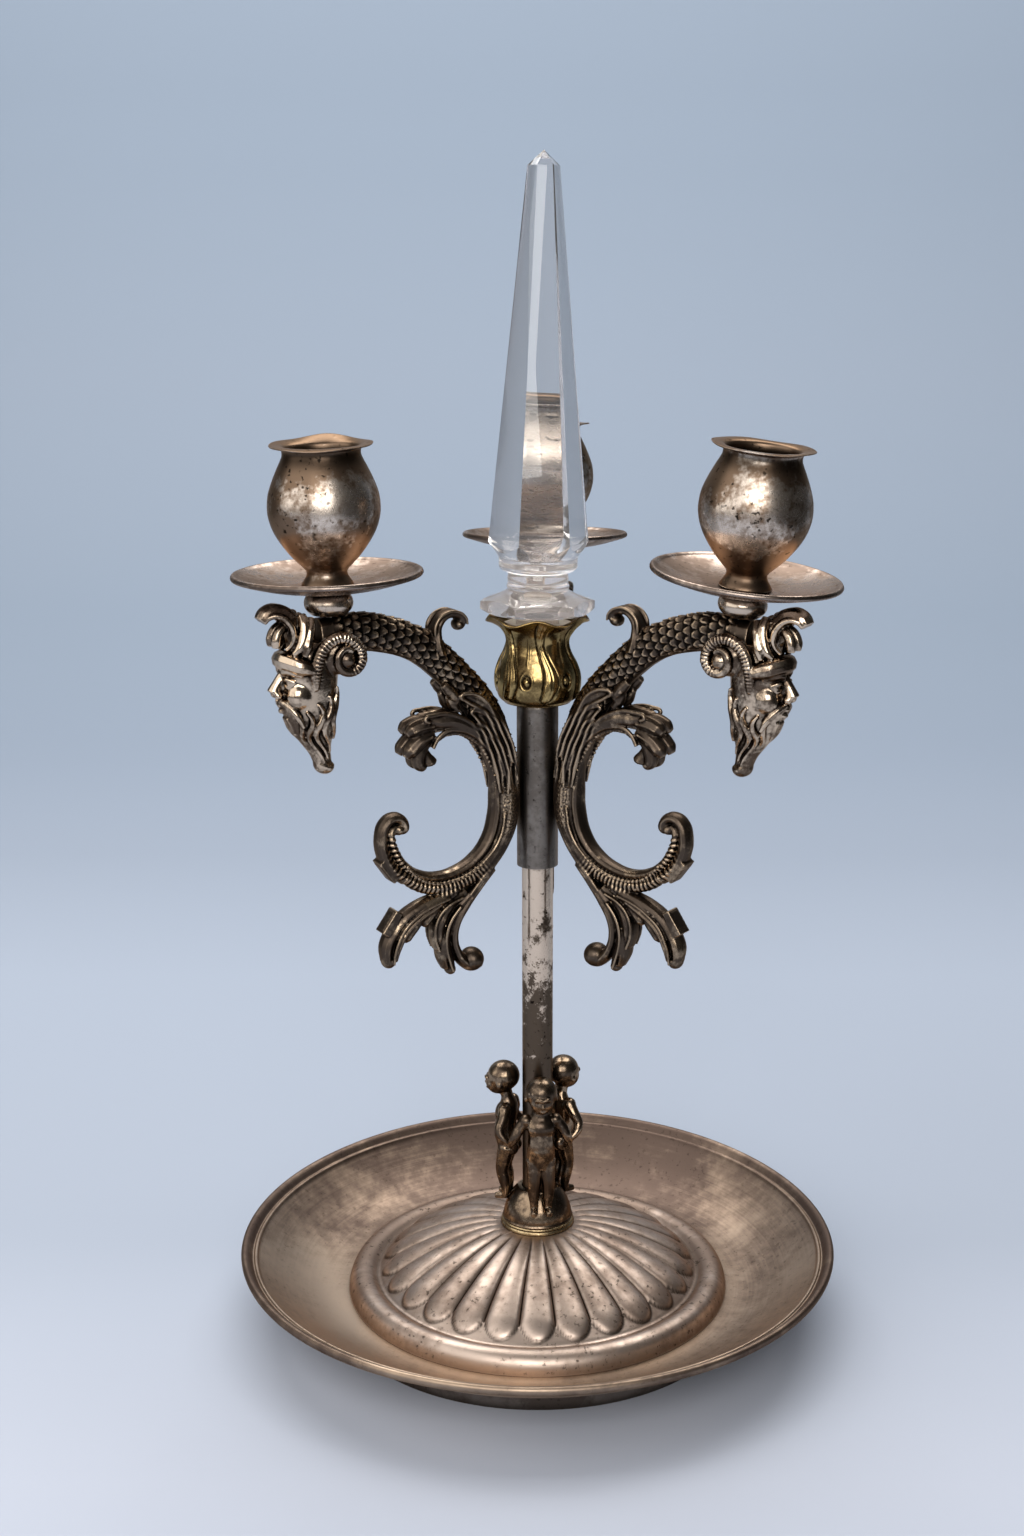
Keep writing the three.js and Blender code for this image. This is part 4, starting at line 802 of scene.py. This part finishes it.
horn = [(69, 41), (68.6, 48), (67.4, 51.6), (65, 54), (61.8, 54.9), (58.6, 53.9), (56.3, 51.3), (55.7, 48.2),
        (57.2, 45.6), (59.9, 44.8)]
run, side, whole = along(points[:, [0, 2]], horn)
ribbed = band(side, 0, 1.7, 4) * grown(np.abs(points[:, 1]), 6.6, 0.8)
ribbed *= np.clip(run / 3, 0, 1)
ribbed *= grown(whole - run, 0, 2)
points += normals * (0.13 * ribbed * np.sin(2 * math.pi * run / 1.05))[:, None]
points *= ARM_SCALE
set_points(head, points)
# Sunk corners are darkened, painted shade with soot, and raised ones lightened as rubbed.
mark(head, "soot_and_shade", hollows(head, 0.025, 0.9, 0.5))
mask_silver = aged_metal("mask_silver", (0.56, 0.45, 0.34), (0.10, 0.072, 0.053), (0.008, 0.006, 0.005),
                         patch=80, film_at=0.5, polish=0.13, dull=0.25, recess=0.0034, edge=0.6, spots=0.2)
for i, place in enumerate(arm_places, 1):
    dress(placed(head, f"mask_{i}", place), mask_silver, "branch", "castBrass", f"arm_mask_{i}")
bpy.data.objects.remove(head)

# Candle stacks: on each arm a ball knop, a drip pan and an urn-shaped cup are
# held down by one screw. All are spun and silver plated, the cups polished most.
STACK_LEANS, SEAT_RISE = (5.5, 1.5, 1.5), 60.2
LIP_BENDS, CUP_FILMS, CUP_FRONT_SHEENS = (0.9, 0.5, 1.0), (0.08, 0.08, 0.1), (0.14, 0.45, 0.14)
stack_places = [
    place @ Matrix.Translation((ARM_REACH * MM, 0, SEAT_RISE * ARM_SCALE * MM))
    @ Matrix.Rotation(math.radians(lean), 4, "Y")
    for place, lean in zip(arm_places, STACK_LEANS)
]
knop = turned("knop_pattern", eased([(1.9, 0.3), (1.9, 0.3), (4.4, 0.3), (5.6, 0.9), (6.7, 2.2), (7.1, 3.6),
                                     (6.8, 5.2), (5.8, 6.5), (4.6, 7.3), (4.6, 7.3), (1.9, 7.3), (1.9, 7.3),
                                     (1.9, 0.3)], 4), 64)
pan = turned("pan_pattern", eased([(1.9, 7.6), (1.9, 7.6), (9.5, 7.6), (11.5, 7.7), (16, 8.3), (20.5, 9.3),
                                   (24.4, 10.4), (26.4, 11.0), (27.3, 11.4), (27.6, 12.0), (27.3, 12.7),
                                   (26.7, 12.9), (26.0, 12.5), (25.0, 11.9), (20.4, 10.3), (16, 9.3),
                                   (11.5, 8.7), (9.5, 8.6), (1.9, 8.6), (1.9, 8.6), (1.9, 7.6)], 4), 128)
cup = turned("cup_pattern", eased([(1.9, 8.9), (1.9, 8.9), (7.2, 8.9), (7.4, 9.2), (7.1, 9.9), (6.2, 11.3),
                                   (5.85, 12.4), (6.1, 13.4), (7.5, 14.9), (9.9, 17.4), (12.1, 20.3),
                                   (13.95, 23.2), (15.2, 26), (15.95, 29), (16.1, 31.5), (15.8, 34.5),
                                   (15.05, 37.1), (13.9, 40), (12.6, 42.8), (11.7, 44.6), (11.2, 46),
                                   (11.35, 47.4), (12.4, 48.1), (14.2, 48.4), (14.65, 48.6), (14.5, 48.9),
                                   (12.2, 48.8), (10.7, 48.2), (10.3, 46.4), (10.8, 44.4), (12.0, 42),
                                   (13.2, 39.4), (14.3, 36.6), (14.95, 33.6), (15.1, 31), (14.6, 27.6),
                                   (13.4, 24.4), (11.8, 21.4), (10.8, 19.9), (10.8, 19.9), (3.35, 19.9),
                                   (3.35, 19.9), (3.35, 17.7), (3.35, 17.7), (1.9, 17.7), (1.9, 17.7),
                                   (1.9, 8.9)], 4), 96)
knop_silver = aged_metal("knop_silver", (0.54, 0.45, 0.365), (0.20, 0.15, 0.112), (0.03, 0.024, 0.02),
                         patch=60, film_at=0.48, polish=0.22, dull=0.34, recess=0.003, spots=0.5)
pan_silver = aged_metal("pan_silver", (0.45, 0.37, 0.32), (0.19, 0.145, 0.12), (0.025, 0.018, 0.014),
                        patch=48, film_at=0.48, polish=0.26, dull=0.38, recess=0.004, edge=0.15, spots=0.6,
                        bump=0.04)
cup_silver = aged_metal("cup_silver", (0.60, 0.52, 0.45), (0.17, 0.115, 0.078), (0.016, 0.012, 0.009),
                        patch=75, film_at=0.53, polish=0.27, dull=0.34, recess=0.004, edge=0.3, spots=1.0,
                        soft=0.1)
# The cups are darker towards the foot and at the neck and lip.
cup_levels = (9, 12, 20, 25, 30, 38, 44, 47.5, 48.2)
cup_tones = (0.3, 0.25, 0.16, 0.08, 0.0, 0.0, 0.2, 0.1, 0.16)
for i, place in enumerate(stack_places, 1):
    dress(placed(knop, f"knop_ball_{i}", place), knop_silver, "branch", "silver", f"knop_{i}")
    tray = placed(pan, f"pan_{i}", Matrix())
    points = mesh_points(tray)[0]
    radius = np.hypot(points[:, 0], points[:, 1])
    mark(tray, "soot_and_shade", 0.4 * grown(radius, 27.0, 0.4) + 0.3 * band(radius, 25.3, 0.5) * (points[:, 2] > 11.4))
    tray.data.transform(place)
    dress(tray, pan_silver, "branch", "silver", f"drip_pan_{i}")
    urn = placed(cup, f"cup_{i}", Matrix())
    points = mesh_points(urn)[0]
    turn = np.arctan2(points[:, 1], points[:, 0])
    lip = grown(np.hypot(points[:, 0], points[:, 1]), 11.0, 3.6) * (points[:, 2] > 46.5)
    bent = LIP_BENDS[i - 1] * 0.22 * np.sin(2 * turn + i) + 0.12 * np.sin(5 * turn + 2 * i)
    if i == 3:  # the left cup's lip is folded up
        fold = band(np.mod(turn + 2.1 + math.pi, 2 * math.pi), math.pi, 0.55)
        bent = bent + 1.3 * fold - 0.5 * np.sin(turn + 0.4)
    points[:, 2] += lip * bent
    set_points(urn, points)
    rise = points[:, 2]
    # The side of each cup that faces the camera and the front lamp gets less film: a painted highlight,
    # strongest on the back cup seen through the glass.
    front_facing = np.clip(np.cos(turn + math.radians(90 + ARM_TURNS[i - 1])), 0, 1)
    film = CUP_FILMS[i - 1] - CUP_FRONT_SHEENS[i - 1] * front_facing ** 2
    mark(urn, "stain_light_and_shade", film + np.interp(rise, cup_levels, cup_tones))
    # A dark band just under the lip, painted shadow of the lip together with tarnish, and a dark band round
    # the waist above the foot.
    mark(urn, "soot_and_shade", 0.55 * band(rise, 45.5, 3.5) * (rise < 47.6) + 0.4 * band(rise, 11, 2))
    urn.data.transform(place)
    dress(urn, cup_silver, "branch", "silver", f"candle_cup_{i}")
    coat(f"cup_screw_{i}", rod_steel)
for pattern in (knop, pan, cup):
    bpy.data.objects.remove(pattern)

# Finial cup: spun brass, chased into six leaves and gilt. Its wavy lip holds the
# glass, and black has gathered between the leaves.
CUP_FOOT, CUP_HEIGHT = 203.2, 27
cup_line = [(2.3, 203.2), (2.3, 203.2), (4.6, 203.2), (9.6, 203.2), (10.4, 203.6), (11.6, 204.6), (12.3, 206),
            (12.6, 208.2), (12.65, 210.2), (12.4, 212.6), (11.4, 215.8), (10.3, 218.4), (9.75, 220.8),
            (9.7, 222.6), (10.2, 224.4), (11.6, 226.4), (13.6, 228.2), (15.2, 229.2), (15.4, 229.5),
            (14.9, 229.8), (13.2, 229.2), (11.0, 227.4), (9.3, 225), (8.8, 222.6), (8.85, 220.8), (9.4, 218),
            (10.5, 215.2), (11.4, 212.4), (11.6, 210), (11.5, 207.6), (10.4, 205.8), (4.6, 205.3),
            (2.3, 205.2), (2.3, 205.2), (2.3, 203.2)]
tulip = turned("gilt_cup", eased(cup_line, 5), 288, 60)
points, normals = mesh_points(tulip)
outer = np.sign(np.sum(normals[:, :2] * points[:, :2], axis=1)) > 0
rise = (points[:, 2] - CUP_FOOT) / CUP_HEIGHT
turn = np.degrees(np.arctan2(points[:, 1], points[:, 0]))
sector = np.mod(turn + 90 + 22, 60.0)
middle = 34 + 8 * np.sin((rise - 0.1) * 7.0)
half = np.interp(rise, (0.02, 0.1, 0.25, 0.45, 0.7, 0.9), (0.5, 8.5, 11, 8.5, 6.5, 9))
offset = (sector - middle) / half
leaf = np.clip(1 - offset ** 2, 0, 1) ** 0.5 * (np.abs(offset) < 1)
rim_line = band(np.abs(offset), 1.0, 0.13)
veins = band(offset, 0, 0.1) + 0.7 * band(np.abs(offset), 0.5, 0.1)
zone = grown(rise, 0.04, 0.06) * grown(0.97 - rise, 0, 0.06)
across = (np.mod(sector - 6.5 + 30, 60) - 30) * 0.22
upright = (rise - 0.3) * CUP_HEIGHT
eye = np.hypot(across / 1.25, upright / 1.7)
boss = 0.45 * band(eye, 0, 0.5) - 0.5 * band(eye, 1.0, 0.22) + 0.3 * band(eye, 1.5, 0.25)
stalk = 0.35 * band(across, 0, 0.35) * grown(rise, 0.45, 0.05) * grown(0.8 - rise, 0, 0.1)
chased = 0.85 * leaf - 0.5 * rim_line - 0.45 * veins * (leaf > 0) * grown(rise, 0.2, 0.2)
relief = zone * chased + boss * (leaf <= 0) + stalk * (leaf <= 0)
points += normals * (np.where(outer & (rise > 0.02), relief, 0))[:, None]
flare = grown(np.hypot(points[:, 0], points[:, 1]), 11.5, 3.5) * (rise > 0.85)
wave = np.cos(np.radians(6 * (turn + 90)))
points[:, 2] += flare * (0.9 * wave - 0.2)
points[:, :2] *= (1 - 0.03 * flare * wave)[:, None]
set_points(tulip, points)
blackened = zone * (rim_line + 0.5 * veins * (leaf > 0) - 0.5 * leaf) + band(eye, 1.0, 0.25) * (leaf <= 0)
mark(tulip, "soot_and_shade", np.where(outer, blackened, 0))
cup_gilt = aged_metal("cup_gilt", (0.38, 0.275, 0.12), (0.135, 0.094, 0.042), (0.012, 0.008, 0.004), patch=90,
                      film_at=0.5, polish=0.12, dull=0.26, recess=0.004, edge=1.0, spots=0.25)
dress(tulip, cup_gilt, "base", "gilt", "finial_cup")
coat("cup_spacer", cup_gilt)

# Plaster bed: poured into the finial cup round the glass peg, which it holds.
# It is grey white and rough, and the glass plate hides most of it.
plaster, tree, shader = new_material("bed_plaster")
place = add_node(tree, "ShaderNodeTexCoord").outputs["Object"]
grit = add_node(tree, "ShaderNodeTexNoise", Scale=400, Vector=place)
tint = add_node(tree, "ShaderNodeValToRGB", Fac=grit.outputs["Fac"])
tint.color_ramp.elements[0].color = (0.42, 0.39, 0.33, 1)
tint.color_ramp.elements[1].color = (0.68, 0.65, 0.58, 1)
feed(tree, shader.inputs["Base Color"], tint.outputs["Color"])
shader.inputs["Roughness"].default_value = 0.9
coat("plaster_bed", plaster)

# Glass obelisk: pressed and cut from one block. A six-sided needle stands on a
# cone, a ring, a waist and a six-sided plate; its peg is bedded in the cup.
GLASS_SEAT, GLASS_TURN, GLASS_LEAN = 230.8, 37.6, 0.8


def six_sided(name, levels):
    """A six-sided body through (corner radius, height) levels."""
    bpy.ops.object.select_all(action="DESELECT")
    bpy.ops.mesh.primitive_circle_add(vertices=6, radius=levels[0][0] * MM, fill_type="NGON",
                                      location=(0, 0, levels[0][1] * MM))
    body = bpy.context.object
    body.name = name
    bpy.ops.object.transform_apply(location=True)
    bpy.ops.object.mode_set(mode="EDIT")
    for (r0, z0), (r1, z1) in zip(levels, levels[1:]):
        bpy.ops.mesh.extrude_region_move(TRANSFORM_OT_translate={"value": (0, 0, (z1 - z0) * MM)})
        bpy.ops.transform.resize(value=(r1 / r0, r1 / r0, 1), center_override=(0, 0, z1 * MM))
    bpy.ops.mesh.select_all(action="SELECT")
    bpy.ops.mesh.remove_doubles(threshold=1e-6)
    bpy.ops.mesh.normals_make_consistent(inside=False)
    bpy.ops.object.mode_set(mode="OBJECT")
    return body


def cut_with(piece, tool, kind):
    """One solid joined to or cut by another; the tool is used up."""
    shaped(piece, "BOOLEAN", operation=kind, solver="EXACT", object=tool)
    bpy.data.objects.remove(tool)


needle = six_sided("glass_obelisk", [(15.2, 15.5), (15.2, 21.5), (4.8, 130.1), (0.02, 134.5)])
cone_line = [(0, 15.5), (11.9, 15.5), (12.05, 17.0), (13.2, 18.8), (15.2, 21.5), (19, 26.9), (19, 135.5),
             (0, 135.5)]
cut_with(needle, turned("cone", cone_line, 96), "INTERSECT")
glass_foot = turned("glass_foot", eased([(0, -14.1), (0, -14.1), (6.5, -14.1), (6.5, -14.1), (6.5, 0),
                                         (6.5, 0), (15.1, 0), (15.1, 0), (17.5, 1.2), (17.5, 1.2),
                                         (17.5, 3.5), (17.5, 3.5), (13.6, 4.9), (11.2, 5.9), (9.6, 6.8),
                                         (9.0, 7.1), (9.0, 7.1), (9.4, 7.5), (9.5, 8.2), (9.3, 8.9),
                                         (8.9, 9.1), (8.9, 9.1), (9.2, 9.5), (9.3, 10.6), (9.1, 11.8),
                                         (9.0, 12.3), (9.0, 12.3), (10.8, 12.9), (11.8, 13.8), (11.95, 15.0),
                                         (11.9, 16.0), (11.9, 16.0), (0, 16.0)], 4), 96)
cut_with(glass_foot, six_sided("prism", [(17.6, -15), (17.6, 18)]), "INTERSECT")
cut_with(needle, glass_foot, "UNION")
shaped(needle, "BEVEL", width=0.22 * MM, segments=2, limit_method="ANGLE", angle_limit=math.radians(24))
bpy.ops.object.shade_smooth_by_angle(angle=math.radians(22))
needle.data.transform(Matrix.Translation((0, 0, GLASS_SEAT * MM))
                      @ Matrix.Rotation(math.radians(GLASS_LEAN), 4, "Y")
                      @ Matrix.Rotation(math.radians(GLASS_TURN), 4, "Z"))
clear_glass, tree, lens = new_material("clear_glass")
lens.inputs["IOR"].default_value = 1.5
place = add_node(tree, "ShaderNodeTexCoord").outputs["Object"]
haze = add_node(tree, "ShaderNodeTexNoise", Scale=90, Detail=6, Vector=place).outputs["Fac"]
feed(tree, lens.inputs["Roughness"], mapped(tree, haze, (0.5, 0.8), (0.01, 0.06)))
level = add_node(tree, "ShaderNodeSeparateXYZ", Vector=place).outputs["Z"]
above = mapped(tree, level, (0.246, 0.256))
feed(tree, lens.inputs["Base Color"], blended(tree, above, (0.98, 0.915, 0.875), (0.80, 0.79, 0.785)))
feed(tree, lens.inputs["Transmission Weight"], mapped(tree, above, (0, 1), (0.83, 0.95)))
dress(needle, clear_glass, "base", "glass", "obelisk")

# Studio: a pale blue sweep of paper under soft lamps in front, at the left, above and on
# the paper behind. A black flag darkens the right side, out of the camera's sight.
PAPER_LENGTH, PAPER_WIDTH, PAPER_START, FLOOR_LENGTH, PAPER_BEND = 4.2, 6.0, -1.4, 2.2, 0.45
bpy.ops.object.select_all(action="DESELECT")
bpy.ops.mesh.primitive_grid_add(x_subdivisions=2, y_subdivisions=60, size=1)
paper = bpy.context.object
paper.name = "paper_sweep"
sweep = np.empty(len(paper.data.vertices) * 3)
paper.data.vertices.foreach_get("co", sweep)
sweep = sweep.reshape(-1, 3)
reach = (sweep[:, 1] + 0.5) * PAPER_LENGTH
sweep[:, 0] *= PAPER_WIDTH
arc = np.clip(reach - FLOOR_LENGTH, 0, PAPER_BEND * math.pi / 2) / PAPER_BEND
sweep[:, 1] = PAPER_START + np.minimum(reach, FLOOR_LENGTH) + PAPER_BEND * np.sin(arc)
sweep[:, 2] = PAPER_BEND * (1 - np.cos(arc)) + np.maximum(0, reach - FLOOR_LENGTH - PAPER_BEND * math.pi / 2)
paper.data.vertices.foreach_set("co", sweep.ravel())
bpy.ops.object.shade_smooth()
mark(paper, "reach", reach / PAPER_LENGTH)
paper_blue, tree, shader = new_material("paper_blue")
# The paper's colour is graded along the sweep, lightest on the floor in front and darkest low in the bend:
# painted light and painted shade in place of the lamps' falloff.
share = add_node(tree, "ShaderNodeAttribute", attribute_name="reach").outputs["Fac"]
painted_falloff = add_node(tree, "ShaderNodeValToRGB", Fac=share)
shades = painted_falloff.color_ramp.elements
for stop, shade in ((0.345, (0.385, 0.434, 0.524)), (0.41, (0.378, 0.432, 0.526)),
                    (0.46, (0.322, 0.373, 0.46)), (0.58, (0.296, 0.357, 0.448)),
                    (0.64, (0.34, 0.402, 0.497))):
    shades.new(stop).color = (*shade, 1)
shades[0].position, shades[0].color = 0.31, (0.51, 0.553, 0.652, 1)
shades[-1].position, shades[-1].color = 0.69, (0.365, 0.438, 0.54, 1)
feed(tree, shader.inputs["Base Color"], painted_falloff.outputs["Color"])
shader.inputs["Roughness"].default_value = 0.95
shader.inputs["Specular IOR Level"].default_value = 0.1
paper.data.materials.append(paper_blue)

bpy.ops.object.select_all(action="DESELECT")
bpy.ops.mesh.primitive_plane_add(size=1, location=(0.5, -0.25, 0.3), rotation=(0, math.radians(90), 0))
flag = bpy.context.object
flag.name = "dark_flag"
flag.scale = (0.7, 0.9, 1)
flag_black, tree, shader = new_material("flag_black")
shader.inputs["Base Color"].default_value = (0.02, 0.02, 0.02, 1)
shader.inputs["Roughness"].default_value = 0.9
flag.data.materials.append(flag_black)
flag.visible_camera = False

world = bpy.data.worlds.new("studio_air")
bpy.context.scene.world = world
world.use_nodes = True
air = world.node_tree.nodes["Background"]
air.inputs["Color"].default_value = (0.84, 0.84, 0.85, 1)
air.inputs["Strength"].default_value = 0.16


def softbox(name, place, aim, size, power, colour=(1.0, 0.97, 0.93)):
    """A large soft lamp that looks at a point."""
    bpy.ops.object.light_add(type="AREA", location=place)
    lamp = bpy.context.object
    lamp.name = name
    lamp.data.shape = "RECTANGLE"
    lamp.data.size, lamp.data.size_y = size
    lamp.data.energy = power
    lamp.data.color = colour
    lamp.rotation_euler = (Vector(aim) - Vector(place)).to_track_quat("-Z", "Y").to_euler()


softbox("key_front", (-0.02, -1.12, 0.68), (0, 0, 0.2), (0.8, 0.7), 9.5)
softbox("key_left", (-1.0, -0.6, 0.85), (0, 0, 0.15), (1.7, 1.5), 12)
softbox("top", (0.0, 0.5, 1.3), (0, 0, 0.05), (1.5, 0.9), 16)
softbox("back_wash", (0.0, 0.75, 1.5), (0, 1.25, 0.3), (2.0, 0.5), 8)

IMAGE_HEIGHT, FOCAL_PIXELS, SHIFT_PIXELS, SENSOR = 1536, 2049.5, -25.5, 36.0
CAMERA_BACK, CAMERA_RISE, CAMERA_PITCH = 0.615, 0.3323, 13.724
camera_data = bpy.data.cameras.new("photo_camera")
camera = bpy.data.objects.new("photo_camera", camera_data)
bpy.context.collection.objects.link(camera)
camera_data.sensor_fit = "VERTICAL"
camera_data.sensor_height = SENSOR
camera_data.lens = SENSOR * FOCAL_PIXELS / IMAGE_HEIGHT
camera_data.shift_x = SHIFT_PIXELS / IMAGE_HEIGHT
camera_data.clip_start = 0.01
camera.location = (0, -CAMERA_BACK, CAMERA_RISE)
camera.rotation_euler = (math.radians(90 - CAMERA_PITCH), 0, 0)
bpy.context.scene.camera = camera
bpy.context.scene.view_settings.view_transform = "Standard"
